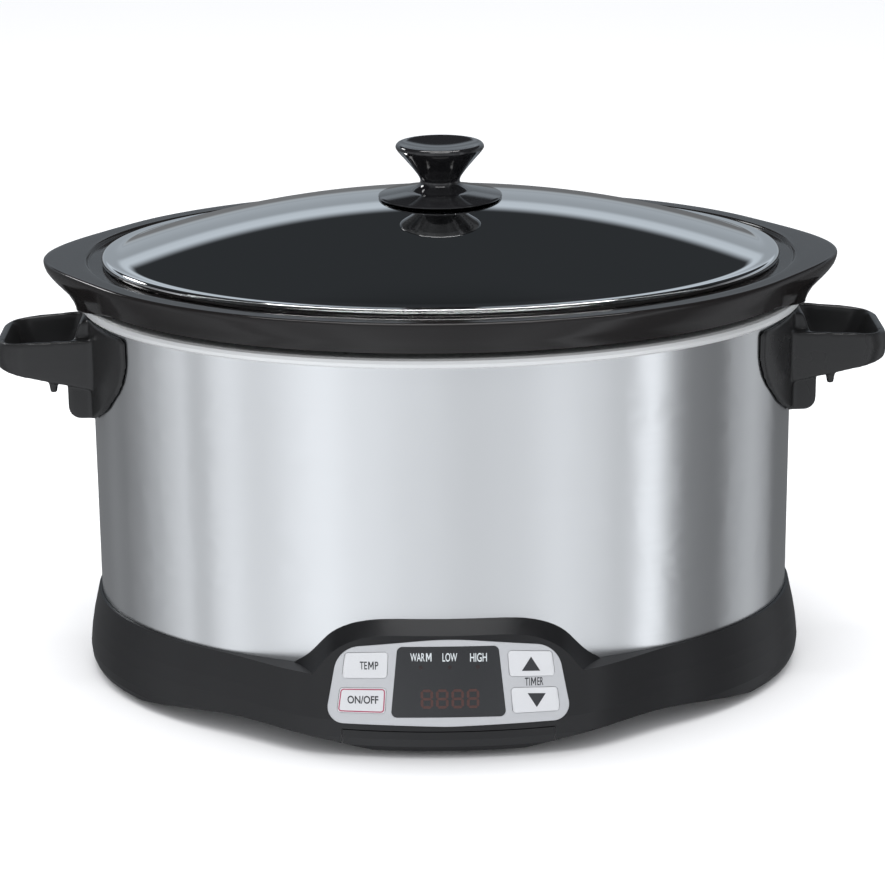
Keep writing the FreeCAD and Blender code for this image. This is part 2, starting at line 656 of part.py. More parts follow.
def placed(shape, x, y, z=0.0):
    moved = shape.copy()
    moved.translate(Vector(x, y, z))
    return moved


def make_base_screws():
    screw = pan_screw(BASE_SCREW_RADIUS, 3.6, BASE_PLATE_BOTTOM - 2.4, 2.4, WRAP_BOTTOM - 8.3)
    return group([placed(screw, x, y) for x, y in BOSS_PLACES])


def make_chin_screws():
    screw = pan_screw(CHIN_SCREW_RADIUS, 2.9, 9.4 - 2.0, 2.0, BASE_PLATE_TOP + 2.5)
    return group([placed(screw, s * CHIN_SCREW_X, -HALF_WIDTH - CHIN_SCREW_Y_OFFSET) for s in (-1, 1)])


def make_cord_gland():
    """Moulded bush in the rear of the base; the mains cord would pass through it."""
    wall_out = gland_y()
    bush = along_y(GLAND_RADIUS, wall_out - 10, wall_out + 1.0, 0, GLAND_Z)
    flange = along_y(GLAND_FLANGE, wall_out + 0.9, wall_out + 3.4, 0, GLAND_Z)
    catch = along_y(GLAND_RADIUS + 1.0, wall_out - 9.5, wall_out - 6.0, 0, GLAND_Z)
    nose = along_y(GLAND_NOSE, wall_out, wall_out + GLAND_NOSE_LENGTH, 0, GLAND_Z)
    bore = along_y(GLAND_BORE, wall_out - 20, wall_out + 20, 0, GLAND_Z)
    return bush.fuse([flange, catch, nose]).cut(bore)


# ---- power electronics ------------------------------------------------------------------
def make_power_board():
    x0, x1, y0, y1 = POWER_BOARD
    board = box(x0, x1, y0, y1, POWER_BOARD_BOTTOM, POWER_BOARD_TOP)
    for x, y in POWER_POSTS:
        board = board.cut(rod(1.6, 0, 60, x, y))
    return board


def make_power_board_screws():
    screw = pan_screw(1.2, 2.6, 0, 1.8, 7.0)
    screw.rotate(Vector(0, 0, 0), Vector(1, 0, 0), 180)
    return group([placed(screw, x, y, POWER_BOARD_TOP + 1.8) for x, y in POWER_POSTS])


def make_relay():
    return box(-88, -69, -20, -5, POWER_BOARD_TOP, POWER_BOARD_TOP + 15)


def make_capacitor():
    return box(-60, -34, -20, -10, POWER_BOARD_TOP, POWER_BOARD_TOP + 14)


def make_terminal_block():
    block = box(-66, -34, 22, 32, POWER_BOARD_TOP, POWER_BOARD_TOP + 11)
    for i in range(3):
        block = block.cut(rod(2.0, POWER_BOARD_TOP + 7, 60, -60 + 10 * i, 27))
    return block


def make_smoothing_capacitors():
    return group([rod(5, POWER_BOARD_TOP, POWER_BOARD_TOP + 13, -28, y) for y in (-2, 12)])


def bent_tube(points, radius, bend):
    """Round wire along straight runs joined by arcs of one bend radius."""
    edges = []
    last = Vector(*points[0])
    for i in range(1, len(points) - 1):
        corner = Vector(*points[i])
        back = (Vector(*points[i - 1]) - corner).normalize()
        ahead = (Vector(*points[i + 1]) - corner).normalize()
        half = back.getAngle(ahead) / 2
        reach = bend / math.tan(half)
        start = corner + back * reach
        end = corner + ahead * reach
        middle = (back + ahead).normalize()
        centre = corner + middle * (bend / math.sin(half))
        edges.append(Part.makeLine(last, start))
        edges.append(Part.Arc(start, centre - middle * bend, end).toShape())
        last = end
    edges.append(Part.makeLine(last, Vector(*points[-1])))
    path = Part.Wire(edges)
    start_point = Vector(*points[0])
    circle = Part.Wire(Part.Circle(start_point, (Vector(*points[1]) - start_point), radius).toShape())
    return path.makePipeShell([circle], True, False)


def make_heater_wires():
    """Two insulated leads from the heater's tabs down to the terminal block."""
    wires = []
    for side, block_x in ((-1, -60), (1, -50)):
        y = on_oval_y(BAND_OFFSET + BAND_THICKNESS, TERMINAL_X) + 0.6
        x = side * TERMINAL_X
        top = BAND_BOTTOM - 8.2
        low = POWER_BOARD_TOP + 15
        route = [(x, y, top), (x, y, low), (block_x, 27, low), (block_x, 27, POWER_BOARD_TOP + 7.2)]
        wires.append(bent_tube(route, 1.2, 4.0))
    return group(wires)


RIBBON_LEFT = -48.0
RIBBON_RIGHT = -34.0
RIBBON_THICKNESS = 0.8


def make_ribbon_cable():
    """Flat cable between the control board and the power board."""
    start_y = -HALF_WIDTH + 4.5
    points = [(start_y, 20.0), (start_y, 27.0), (POWER_BOARD[2] - 4, 27.0), (POWER_BOARD[2] - 4, 24.6),
              (POWER_BOARD[2] + 6, 24.6), (POWER_BOARD[2] + 6, POWER_BOARD_TOP)]
    strips = []
    for (y0, z0), (y1, z1) in zip(points, points[1:]):
        strips.append(box(RIBBON_LEFT, RIBBON_RIGHT, min(y0, y1), max(y0, y1) + RIBBON_THICKNESS,
                          min(z0, z1), max(z0, z1) + RIBBON_THICKNESS))
    cable = strips[0].fuse(strips[1:])
    over_board = box(RIBBON_LEFT - 2, RIBBON_RIGHT + 4, -HIGH, HIGH, POWER_BOARD_TOP, 60)
    in_front = box(RIBBON_LEFT - 2, RIBBON_RIGHT + 4, -HIGH, POWER_BOARD[2] - 10, 18, 60)
    return cable.common(over_board.fuse(in_front))


# ---- control panel electronics ------------------------------------------------------------
def make_control_board():
    board = panel_prism(BOARD_CORNERS, BOARD_BACK, BOARD_FRONT)
    for side in (-1, 1):
        board = board.cut(Part.makeCylinder(1.4, 20, Vector(side * BOARD_SCREW_X, BOARD_SCREW_Y, -25)))
    return to_panel(board)


def make_control_board_screws():
    screws = []
    for side in (-1, 1):
        screw = pan_screw(1.0, 2.2, BOARD_BACK - 1.6, 1.6, BOARD_FRONT + 3.4)
        screws.append(to_panel(placed(screw, side * BOARD_SCREW_X, BOARD_SCREW_Y)))
    return group(screws)


def make_switch_bodies():
    bodies = []
    for x, y in SWITCH_CENTRES.values():
        body = box(x - 3, x + 3, y - 3, y + 3, BOARD_FRONT, SWITCH_TOP)
        hole = Part.makeCylinder(PLUNGER_RADIUS + 0.3, 5, Vector(x, y, SWITCH_HOLE_FLOOR))
        bodies.append(to_panel(body.cut(hole)))
    return group(bodies)


def make_button(name):
    return to_panel(panel_block(BUTTON_CORNERS[name], PANEL_RECESS - 0.35, BUTTON_BACK))


def make_plunger(name):
    x, y = SWITCH_CENTRES[name]
    return to_panel(Part.makeCylinder(PLUNGER_RADIUS, BUTTON_BACK - PLUNGER_TIP, Vector(x, y, PLUNGER_TIP)))


def make_panel_plate():
    plate = panel_skin(PLATE_CORNERS, PANEL_RECESS, POCKET_DEPTH - PANEL_BED)
    plate = plate.cut(panel_prism(grown(WINDOW_CORNERS, 0.1), -30, 10))
    for corners in BUTTON_CORNERS.values():
        plate = plate.cut(panel_prism(grown(corners, BUTTON_FIT), -30, 10))
    return to_panel(plate)


def make_display_window():
    return to_panel(panel_skin(WINDOW_CORNERS, PANEL_RECESS, POCKET_DEPTH - PANEL_BED))


DISPLAY_CORNERS = [(16.5, -1.6, 0.5), (16.5, -12.4, 0.5), (-14.5, -12.4, 0.5), (-14.5, -1.6, 0.5)]
DISPLAY_FRONT = -5.0
LED_PLACES = [(-12.9, 8.0), (0.8, 8.0), (14.2, 8.0)]


def make_display():
    return to_panel(panel_prism(DISPLAY_CORNERS, BOARD_FRONT, DISPLAY_FRONT))


def make_leds():
    leds = []
    for x, y in LED_PLACES:
        led = Part.makeCylinder(1.5, -5.0 - BOARD_FRONT, Vector(x, y, BOARD_FRONT))
        leds.append(to_panel(led.fuse(Part.makeSphere(1.5, Vector(x, y, -5.0)))))
    return group(leds)


def make_microcontroller():
    return to_panel(box(-9, 9, -6, 6, BOARD_BACK - 2.0, BOARD_BACK))


# ---- handles --------------------------------------------------------------------------------
# Half outline of the mounting plate: (y, height, corner radius)
PLATE_OUTLINE = [(65.0, HANDLE_TOP + 9.9, 3), (65.5, HANDLE_TOP - 12.5, 30), (46.0, HANDLE_TOP - 32.5, 40),
                 (26.5, LEG_BOTTOM, 6)]
HANDLE_PLATE_THICKNESS = 2.2
GAP_INNER_X = HALF_LENGTH + 12.9
LOOP_ROOT_X = HALF_LENGTH - 24.6  # the loop starts inside the body and is trimmed to it
NUB_X = HALF_LENGTH + 17.4
HANDLE_CORNER = 17.0


def loop_outline(reach, half, end_half, corner):
    """Right-hand loop in plan, open-ended into the body."""
    return [(LOOP_ROOT_X, half + 1.4, 1), (reach, end_half, corner), (reach, -end_half, corner),
            (LOOP_ROOT_X, -half - 1.4, 1)]


def plan_wire(corners, z):
    face = rounded_face(corners)
    face.translate(Vector(0, 0, z))
    return face.OuterWire


def handle_loop():
    outer = Part.makeLoft([
        plan_wire(loop_outline(HANDLE_REACH - 5.5, HANDLE_HALF_WIDTH - 1, HANDLE_END_HALF_WIDTH - 2.5,
                               HANDLE_CORNER - 3), HANDLE_TOP - 28.5),
        plan_wire(loop_outline(HANDLE_REACH - 0.8, HANDLE_HALF_WIDTH, HANDLE_END_HALF_WIDTH - 0.3,
                               HANDLE_CORNER), HANDLE_TOP - 15.5),
        plan_wire(loop_outline(HANDLE_REACH, HANDLE_HALF_WIDTH, HANDLE_END_HALF_WIDTH, HANDLE_CORNER),
                  HANDLE_TOP - 9.5),
        plan_wire(loop_outline(HANDLE_REACH - 2.5, HANDLE_HALF_WIDTH, HANDLE_END_HALF_WIDTH - 0.8,
                               HANDLE_CORNER), HANDLE_TOP + 2.5)], True, True)
    top_slope = Part.makeBox(200, 200, 60, Vector(0, -100, 0))
    top_slope.rotate(Vector(0, 0, 0), Vector(0, 1, 0), 3.6)
    top_slope.translate(Vector(HALF_LENGTH - 0.6, 0, HANDLE_TOP))
    top_slope = top_slope.fuse(box(HALF_LENGTH - 75, HALF_LENGTH + 0.4, -100, 100,
                                   HANDLE_TOP, HANDLE_TOP + 60))
    low_slope = Part.makeBox(200, 200, 60, Vector(-30, -100, -60))
    low_slope.rotate(Vector(0, 0, 0), Vector(0, 1, 0), -10.5)
    low_slope.translate(Vector(HALF_LENGTH + 18.4, 0, HANDLE_TOP - 22))
    return outer.cut(top_slope).cut(low_slope)


def handle_gap():
    """Finger opening, flaring upward to a thin rim and to the slope of the leg."""
    inner_half = HANDLE_HALF_WIDTH - HANDLE_WALL
    end_half = HANDLE_END_HALF_WIDTH - HANDLE_WALL

    def outline(start, end, wider):
        near = inner_half - 1.5 + wider
        far = end_half + wider
        return [(start, near, 4), (end, far, 9), (end, -far, 9), (start, -near, 4)]
    levels = [(GAP_INNER_X, HANDLE_REACH - 14.5, 0, HANDLE_TOP - 55.5),
              (GAP_INNER_X, HANDLE_REACH - 13.5, 0, HANDLE_TOP - 23.5),
              (GAP_INNER_X - 8.5, HANDLE_REACH - 2.5, 2.8, HANDLE_TOP + 2.5)]
    wires = [plan_wire(outline(start, end, wider), z) for start, end, wider, z in levels]
    return Part.makeLoft(wires, True, True)


def yz_prism(corners, x0, x1):
    """Prism along X from corners given as (y, z, radius)."""
    face = rounded_face([(y, z, r) for y, z, r in corners])
    solid = face.extrude(Vector(0, 0, x1 - x0))
    solid.transformShape(Placement(Vector(x0, 0, 0), Rotation(Vector(0, 1, 0), 90) *
                                   Rotation(Vector(0, 0, 1), 90)).toMatrix())
    return solid


def make_handle():
    """Right-hand handle: a mounting plate round the body, a leg and an open loop."""
    mirrored = [(-y, z, r) for y, z, r in reversed(PLATE_OUTLINE)]
    plate = yz_prism(PLATE_OUTLINE + mirrored, HALF_LENGTH - 55, HALF_LENGTH + 55)
    plate = plate.common(oval_prism(HANDLE_PLATE_THICKNESS, LEG_BOTTOM - 20, HANDLE_TOP + 30))
    root = HALF_LENGTH - 34.6
    leg_profile = [(root, HANDLE_TOP + 8, 1), (HALF_LENGTH + 3.4, HANDLE_TOP + 8, 1.5),
                   (LEG_REACH, HANDLE_TOP - 12.5, 6), (LEG_REACH, LEG_BOTTOM, 6), (root, LEG_BOTTOM, 1)]
    leg_face = rounded_face(leg_profile)
    leg = leg_face.extrude(Vector(0, 0, 2 * LEG_HALF_WIDTH))
    leg.rotate(Vector(0, 0, 0), Vector(1, 0, 0), 90)
    leg.translate(Vector(0, LEG_HALF_WIDTH, 0))
    solid = handle_loop().cut(handle_gap()).fuse([plate, leg])
    for y in (-1, 1):
        nub = Part.makeCone(1.9, 2.8, 8, Vector(NUB_X, y * (HANDLE_HALF_WIDTH - 7.5), HANDLE_TOP - 27.5))
        solid = solid.fuse(nub)
    solid = solid.cut(oval_prism(FIT, LEG_BOTTOM - 40, HANDLE_TOP + 50))
    for z in HANDLE_SCREW_Z:
        solid = solid.cut(along_x(HANDLE_SCREW_RADIUS + 0.05, LOOP_ROOT_X, HALF_LENGTH + 8.9, 0, z))
    return solid


STRAP_GAP = 0.15             # between the wrap and the strap behind each handle
STRAP_THICKNESS = 1.2
HANDLE_SCREW_HEAD_RADIUS = 3.8
HEAD_GAP = 0.026             # between a screw head's edge and the curved strap


def make_backing_plates():
    """Steel straps inside the wrap that spread the handle screws' load."""
    outside = on_oval_x(-WRAP_THICKNESS, 0) - STRAP_GAP
    low = HANDLE_TOP - 37.5
    high = HANDLE_TOP - 7.5
    outer = -WRAP_THICKNESS - STRAP_GAP
    strap = oval_tube(outer, outer - STRAP_THICKNESS, low, high)
    strap = strap.common(box(outside - 30, outside + 5, -20, 20, low, high))
    strap = strap.cut(handle_screw_holes(HANDLE_SCREW_RADIUS + SCREW_CLEARANCE))
    return both_sides(strap)


def make_handle_screws():
    seat = on_oval_x(-WRAP_THICKNESS - STRAP_GAP - STRAP_THICKNESS, HANDLE_SCREW_HEAD_RADIUS) - HEAD_GAP
    screws = []
    for z in HANDLE_SCREW_Z:
        screw = pan_screw(HANDLE_SCREW_RADIUS, HANDLE_SCREW_HEAD_RADIUS, -2.6, 2.6, 10.0)
        screw.rotate(Vector(0, 0, 0), Vector(0, 1, 0), 90)
        screws.append(placed(screw, seat, 0, z))
    right = group(screws)
    return group(right.Solids + mirror_x(right).Solids)


# ---- crock ------------------------------------------------------------------------------------
def crock_outline(offset, lug, z):
    """Oval of the crock's collar with a bulge at both ends."""
    points = []
    count = 72
    for i in range(count):
        angle = 2 * math.pi * i / count
        x = (HALF_LENGTH + offset) * math.cos(angle)
        y = (HALF_WIDTH + offset) * math.sin(angle)
        share = min(abs(y) / LUG_HALF_WIDTH, 1.0)
        bulge = lug * math.cos(math.pi / 2 * share) ** 2
        points.append(Vector(x + math.copysign(bulge, x), y, z))
    curve = Part.BSplineCurve()
    curve.interpolate(points, PeriodicFlag=True)
    return Part.Wire(curve.toShape())


def crock_loft(levels):
    return Part.makeLoft([crock_outline(*level) for level in levels], True, True)


def make_crock():
    foot = WELL_FLOOR + WELL_THICKNESS + CROCK_SEAT_GAP
    side = CROCK_BODY_OFFSET
    body = oval_stack([(side - 18, foot), (side - 12, foot + 1.5), (side - 7, foot + 7),
                       (side - 4.5, foot + 22), (side - 1.5, RIM_TOP - 42.5), (side, CROCK_UNDERSIDE + 1)])
    rim = CROCK_RIM_OFFSET
    collar = crock_loft([(rim - 7.4, LUG_REACH - 4.4, CROCK_UNDERSIDE),
                         (rim - 6.5, LUG_REACH - 4, CROCK_UNDERSIDE + 1),
                         (rim - 4, LUG_REACH - 1.5, CROCK_TOP - 10.5),
                         (rim - 1.6, LUG_REACH + 0.4, CROCK_TOP - 5.5),
                         (rim, LUG_REACH, CROCK_TOP - 1.4),
                         (rim - 1.2, LUG_REACH, CROCK_TOP)])
    lugs = crock_loft([(rim - 7, 2.6, CROCK_UNDERSIDE - 9.2), (rim - 6.8, 4.8, CROCK_UNDERSIDE - 4.6),
                       (rim - 6.5, LUG_REACH - 4.2, CROCK_UNDERSIDE + 0.6)])
    lugs = lugs.cut(oval_prism(RIM_OVERHANG + 1.0, CROCK_UNDERSIDE - 20, CROCK_UNDERSIDE))
    crock = collar.fuse([body, lugs])
    recess = oval_stack([(0, CROCK_LEDGE), (0.6, CROCK_TOP + 2)])
    inside = oval_stack([(side - 24, CROCK_FLOOR), (side - 17, CROCK_FLOOR + 2.5),
                         (side - 12.5, CROCK_FLOOR + 10), (side - 9.5, CROCK_FLOOR + 32),
                         (side - 6.3, RIM_TOP - 32.5), (CROCK_MOUTH_OFFSET - 1, CROCK_LEDGE - 3),
                         (CROCK_MOUTH_OFFSET, CROCK_LEDGE + 1)])
    return crock.cut(recess).cut(inside)


# ---- lid ---------------------------------------------------------------------------------------
KNOB_SCREW_RADIUS = 2.0
GLASS_HOLE = 3.4


def make_lid_glass():
    """Domed oval glass: a round dome with a flat flange, narrowed to the lid's width."""
    reach = LID_LENGTH / 2
    inner = reach - LID_FLANGE
    span = inner + 3
    radius = dome_radius()

    def dome(r, top, ball):
        return top - ball + math.sqrt(ball ** 2 - r ** 2)

    def dome_arc(r, top, ball):
        return Part.Arc(Vector(0, 0, top), Vector(r / 2, 0, dome(r / 2, top, ball)),
                        Vector(r, 0, dome(r, top, ball))).toShape()
    top_arc = dome_arc(span, DOME_TOP, radius)
    low_radius = radius - LID_THICKNESS
    low_arc = dome_arc(inner, GLASS_UNDERSIDE, low_radius)
    low_end = Vector(inner, 0, dome(inner, GLASS_UNDERSIDE, low_radius))
    bead = LID_THICKNESS / 2
    edges = [top_arc,
             Part.makeLine(Vector(span, 0, GLASS_RIM_TOP), Vector(reach - bead, 0, GLASS_RIM_TOP)),
             Part.Arc(Vector(reach - bead, 0, GLASS_RIM_TOP), Vector(reach, 0, GLASS_RIM_TOP - bead),
                      Vector(reach - bead, 0, GLASS_SEAT)).toShape(),
             Part.makeLine(Vector(reach - bead, 0, GLASS_SEAT), Vector(inner + 1, 0, GLASS_SEAT)),
             Part.makeLine(Vector(inner + 1, 0, GLASS_SEAT), low_end),
             low_arc,
             Part.makeLine(Vector(0, 0, GLASS_UNDERSIDE), Vector(0, 0, DOME_TOP))]
    glass = Part.Face(Part.Wire(Part.__sortEdges__(edges))).revolve(Vector(0, 0, 0), Vector(0, 0, 1), 360)
    narrow = Matrix()
    narrow.A22 = LID_WIDTH / LID_LENGTH
    return glass.transformGeometry(narrow).cut(rod(GLASS_HOLE, GLASS_SEAT, DOME_TOP + 20))


GASKET_RADIUS = 12.0
GASKET_BOTTOM = DOME_TOP + 0.05
GASKET_TOP = GASKET_BOTTOM + 0.7
DISC_BOTTOM = GASKET_TOP
DISC_TOP = DISC_BOTTOM + 2.2


def dome_radius():
    """Radius of the ball that the lid's dome is cut from."""
    span = LID_LENGTH / 2 - LID_FLANGE + 3
    return (span ** 2 + DOME_HEIGHT ** 2) / (2 * DOME_HEIGHT)


def make_knob_gasket():
    hole = rod(KNOB_SCREW_RADIUS + 0.5, GASKET_BOTTOM - 5, GASKET_TOP + 5)
    return rod(GASKET_RADIUS, GASKET_BOTTOM, GASKET_TOP).cut(hole)


def make_knob_disc():
    """Guard disc under the knob, dished to lie close to the dome."""
    edge = DOME_TOP + DISC_EDGE_GAP - KNOB_DISC_RADIUS ** 2 / (2 * dome_radius())
    return spun([(KNOB_SCREW_RADIUS + 0.5, DISC_BOTTOM), (GASKET_RADIUS + 0.5, DISC_BOTTOM),
                 (KNOB_DISC_RADIUS - 0.7, edge), (KNOB_DISC_RADIUS, edge + 0.6),
                 (KNOB_DISC_RADIUS - 0.5, edge + 1.2), (16.5, DISC_TOP - 0.1), (15.5, DISC_TOP),
                 (KNOB_SCREW_RADIUS + 0.5, DISC_TOP)])


def make_knob():
    """Waisted knob with a dished top."""
    foot = DISC_TOP
    side = [(KNOB_FOOT_RADIUS, foot), (13.6, foot + 0.9), (11.3, foot + 2.0), (KNOB_WAIST_RADIUS, foot + 3.8),
            (10.2, foot + 6.2), (13.0, foot + 10.2), (17.3, foot + 15.6), (20.6, KNOB_TOP - 4.0),
            (KNOB_RADIUS, KNOB_TOP - 2.0), (KNOB_RADIUS - 0.9, KNOB_TOP - 0.3)]
    dish_reach, dish_top = side[-1]
    dish_radius = (dish_reach ** 2 + KNOB_DISH ** 2) / (2 * KNOB_DISH)
    dish_floor = dish_top - KNOB_DISH
    half_reach = dish_reach / 2
    half_height = dish_floor + dish_radius - math.sqrt(dish_radius ** 2 - half_reach ** 2)
    edges = [smooth_line([(r, 0, z) for r, z in side]),
             Part.Arc(Vector(dish_reach, 0, dish_top), Vector(half_reach, 0, half_height),
                      Vector(0, 0, dish_floor)).toShape(),
             Part.makeLine(Vector(0, 0, dish_floor), Vector(0, 0, foot)),
             Part.makeLine(Vector(0, 0, foot), Vector(KNOB_FOOT_RADIUS, 0, foot))]
    knob = Part.Face(Part.Wire(edges)).revolve(Vector(0, 0, 0), Vector(0, 0, 1), 360)
    return knob.cut(rod(KNOB_SCREW_RADIUS + 0.05, foot - 5, foot + 11))


def make_knob_washer():
    washer = rod(8, GLASS_UNDERSIDE - 1.5, GLASS_UNDERSIDE - 0.3)
    return washer.cut(rod(KNOB_SCREW_RADIUS + 0.3, GLASS_UNDERSIDE - 5, GLASS_UNDERSIDE + 5))


def make_knob_screw():
    return pan_screw(KNOB_SCREW_RADIUS, 4.2, GLASS_UNDERSIDE - 4.4, 2.8, DISC_TOP + 9.5)


# ---- write every sub-part -------------------------------------------------------------------------
def main():
    os.makedirs("parts", exist_ok=True)
    shell = base_shell()
    shell = shell.cut(arch_cutter())
    right_handle = make_handle()
    nodes = {
        "steel_wrap": make_steel_wrap(),
        "heating_well": make_heating_well(),
        "base_housing": make_base_housing(shell),
        "chin_cover": make_chin_cover(shell),
        "panel_plate": make_panel_plate(),
        "display_window": make_display_window(),
        "base_plate": make_base_plate(),
        "rubber_feet": make_feet(),
        "cord_gland": make_cord_gland(),
        "right_handle": right_handle,
        "left_handle": mirror_x(right_handle),
        "handle_backing_plates": make_backing_plates(),
        "handle_screws": make_handle_screws(),
        "heating_band": make_heating_band(),
        "band_clamps": make_band_clamps(),
        "heater_terminals": make_heater_terminals(),
        "insulation_blanket": make_insulation(),
        "bottom_reflector": make_reflector(),
        "tie_stud": make_tie_stud(),
        "tie_spacer": make_tie_spacer(),
        "tie_nut": make_tie_nut(),
        "temperature_sensor": make_sensor(),
        "sensor_spring": make_sensor_spring(),
        "sensor_bracket": make_sensor_bracket(),
        "thermal_fuse": make_thermal_fuse(),
        "fuse_clip": make_fuse_clip(),
        "power_board": make_power_board(),
        "power_board_screws": make_power_board_screws(),
        "relay": make_relay(),
        "film_capacitor": make_capacitor(),
        "terminal_block": make_terminal_block(),
        "smoothing_capacitors": make_smoothing_capacitors(),
        "heater_wires": make_heater_wires(),
        "ribbon_cable": make_ribbon_cable(),
        "control_board": make_control_board(),
        "control_board_screws": make_control_board_screws(),
        "microcontroller": make_microcontroller(),
        "digit_display": make_display(),
        "indicator_leds": make_leds(),
        "switch_bodies": make_switch_bodies(),
        "base_plate_screws": make_base_screws(),
        "chin_cover_screws": make_chin_screws(),
        "crock": make_crock(),
        "lid_glass": make_lid_glass(),
        "lid_knob": make_knob(),
        "knob_disc": make_knob_disc(),
        "knob_gasket": make_knob_gasket(),
        "knob_washer": make_knob_washer(),
        "knob_screw": make_knob_screw(),
    }
    for name in BUTTON_CORNERS:
        nodes[name] = make_button(name)
        nodes[name.replace("_button", "_plunger")] = make_plunger(name)
    for name, shape in nodes.items():
        save(name, shape)
        solids = len(shape.Solids)
        bounds = shape.BoundBox
        print("%-24s solids %d valid %s volume %.0f  x %.1f..%.1f y %.1f..%.1f z %.1f..%.1f" % (
            name, solids, shape.isValid(), shape.Volume, bounds.XMin, bounds.XMax, bounds.YMin, bounds.YMax,
            bounds.ZMin, bounds.ZMax))


main()
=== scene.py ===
import math

import bmesh
import bpy
from mathutils import Matrix, Vector


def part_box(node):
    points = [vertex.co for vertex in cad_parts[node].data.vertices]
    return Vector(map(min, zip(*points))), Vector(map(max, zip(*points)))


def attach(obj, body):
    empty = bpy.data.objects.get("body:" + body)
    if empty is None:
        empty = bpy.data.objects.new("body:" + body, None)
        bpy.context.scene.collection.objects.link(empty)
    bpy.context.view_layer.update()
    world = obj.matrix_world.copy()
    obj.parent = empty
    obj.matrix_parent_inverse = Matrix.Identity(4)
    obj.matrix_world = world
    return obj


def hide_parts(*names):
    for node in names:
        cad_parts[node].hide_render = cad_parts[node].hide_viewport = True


# Oval programmable slow cooker. Metres, +Z up, the control panel faces -Y.
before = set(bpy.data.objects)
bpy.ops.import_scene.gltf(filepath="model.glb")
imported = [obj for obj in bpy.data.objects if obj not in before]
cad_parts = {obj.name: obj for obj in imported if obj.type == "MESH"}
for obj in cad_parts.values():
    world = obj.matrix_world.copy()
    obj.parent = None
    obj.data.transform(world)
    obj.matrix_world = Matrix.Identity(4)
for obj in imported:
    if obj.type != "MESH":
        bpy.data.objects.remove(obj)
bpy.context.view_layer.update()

MM = 0.001
SHARP = math.radians(32)      # edges turning more than this stay sharp
_, wrap_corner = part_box("steel_wrap")
HALF_LENGTH = wrap_corner.x
HALF_WIDTH = wrap_corner.y


# ---- shader node helpers ----------------------------------------------------------------
def fill(tree, node, values):
    """Set a node's inputs, each to a plain value or to a link from another node's output."""
    for key, value in values.items():
        if isinstance(value, bpy.types.NodeSocket):
            tree.links.new(value, node.inputs[key])
        else:
            node.inputs[key].default_value = value


def add_node(tree, kind, values=None, **settings):
    """New shader node with its settings and inputs in place."""
    node = tree.nodes.new("ShaderNode" + kind)
    for key, value in settings.items():
        setattr(node, key, value)
    fill(tree, node, values or {})
    return node


def maths(tree, operation, *values):
    return add_node(tree, "Math", dict(enumerate(values)), operation=operation).outputs[0]


def smooth_mask(tree, value, start, end, least=0.0):
    """From least up to 1 as the value goes from start to end."""
    limits = {"Value": value, "From Min": start, "From Max": end, "To Min": least}
    return add_node(tree, "MapRange", limits, interpolation_type="SMOOTHSTEP").outputs[0]


def mix_colours(tree, factor, first, second, blend="MIX"):
    node = add_node(tree, "Mix", data_type="RGBA", blend_type=blend)
    fill(tree, node, {0: factor, 6: first, 7: second})
    return node.outputs[2]


def colour_ramp(tree, factor, stops):
    """Eased ramp through (position, colour) stops in rising order."""
    node = add_node(tree, "ValToRGB", {0: factor})
    ramp = node.color_ramp
    ramp.interpolation = "EASE"
    while len(ramp.elements) > 1:
        ramp.elements.remove(ramp.elements[0])
    ramp.elements[0].position = stops[0][0]
    for position, _ in stops[1:]:
        ramp.elements.new(position)
    for element, (_, colour) in zip(ramp.elements, stops):
        element.color = colour
    return node.outputs[0]


# ---- camera, floor and lights -------------------------------------------------------------
CAMERA_PLACE = (-0.01626, -1.4328, 0.5536)
CAMERA_LENS = 120.4           # mm, on a sensor SENSOR_WIDTH mm wide
SENSOR_WIDTH = 36.0
CAMERA_HEADING = -0.65        # degrees about Z
CAMERA_DIP = 17.12            # degrees below the horizon
CAMERA_ROLL = -0.54           # degrees about its own axis
FAR_CLIP = 60.0
FLOOR_REACH = 9.0
FLOOR_COLOUR = (0.93, 0.93, 0.935, 1)

# Brightness of the studio walls by compass direction in degrees, 0 in front and + to the right.
WALLS = [
    (-180, .17), (-143, .17), (-127, .21), (-117, .18), (-106, .26), (-94, .43), (-83, .64),
    (-78, .76), (-74.5, .50), (-70, .52), (-65, .78), (-60, .86), (-51, .72), (-31, .97),
    (-20, .84), (-6, .74), (7, .65), (18, .68), (30, .79), (39, .72), (49, .56), (52.5, .62),
    (55, 1.02), (59, 1.08), (62, .82), (66, .38), (72, .20), (88, .155), (95, .36), (108, .48),
    (120, .36), (130, .15)]
WALL_TINT = (0.97, 1.0, 1.04)
# Brightness left by height (0 at the horizon, 1 straight up), in full only towards the rear.
CEILING = [(0.10, 0.42), (0.25, 0.36), (0.305, 0.58), (0.34, 0.60), (0.42, 0.03), (0.80, 0.03)]
CEILING_FOOT = (0.02, (1, 1, 1, 1))
CEILING_TOP = (1.0, (0.02, 0.02, 0.02, 1))
CEILING_BLUE = 1.02
CEILING_FRONT_SHARE = 0.6
# Parts of a direction, -1 to 1, over which a mask comes in.
OVERHEAD_SPAN = (-0.25, 0.0)          # rearward, ceiling
REAR_SPAN = (0.15, 0.55)              # rearward, backdrop
HORIZON_SPAN = (0.0, 0.12)            # upward, backdrop
BACKDROP = (0.78, 0.87, 0.94, 1)      # behind the object, as its shiny surfaces reflect it
PAPER = (0.97, 0.98, 1.0, 1)          # everywhere, as the camera and matt surfaces see it
# name, place, target, width, height, watts
SOFT_LIGHTS = [
    ("overhead_strip", (0.0, 0.05, 1.5), (0, 0, 0.1), 1.3, 0.14, 9),
    ("front_softbox", (0.0, -0.65, 1.35), (0, -0.14, 0.06), 0.9, 0.35, 5),
    ("left_softbox", (-1.3, 0.9, 1.1), (0, 0, 0.2), 0.5, 0.25, 4)]


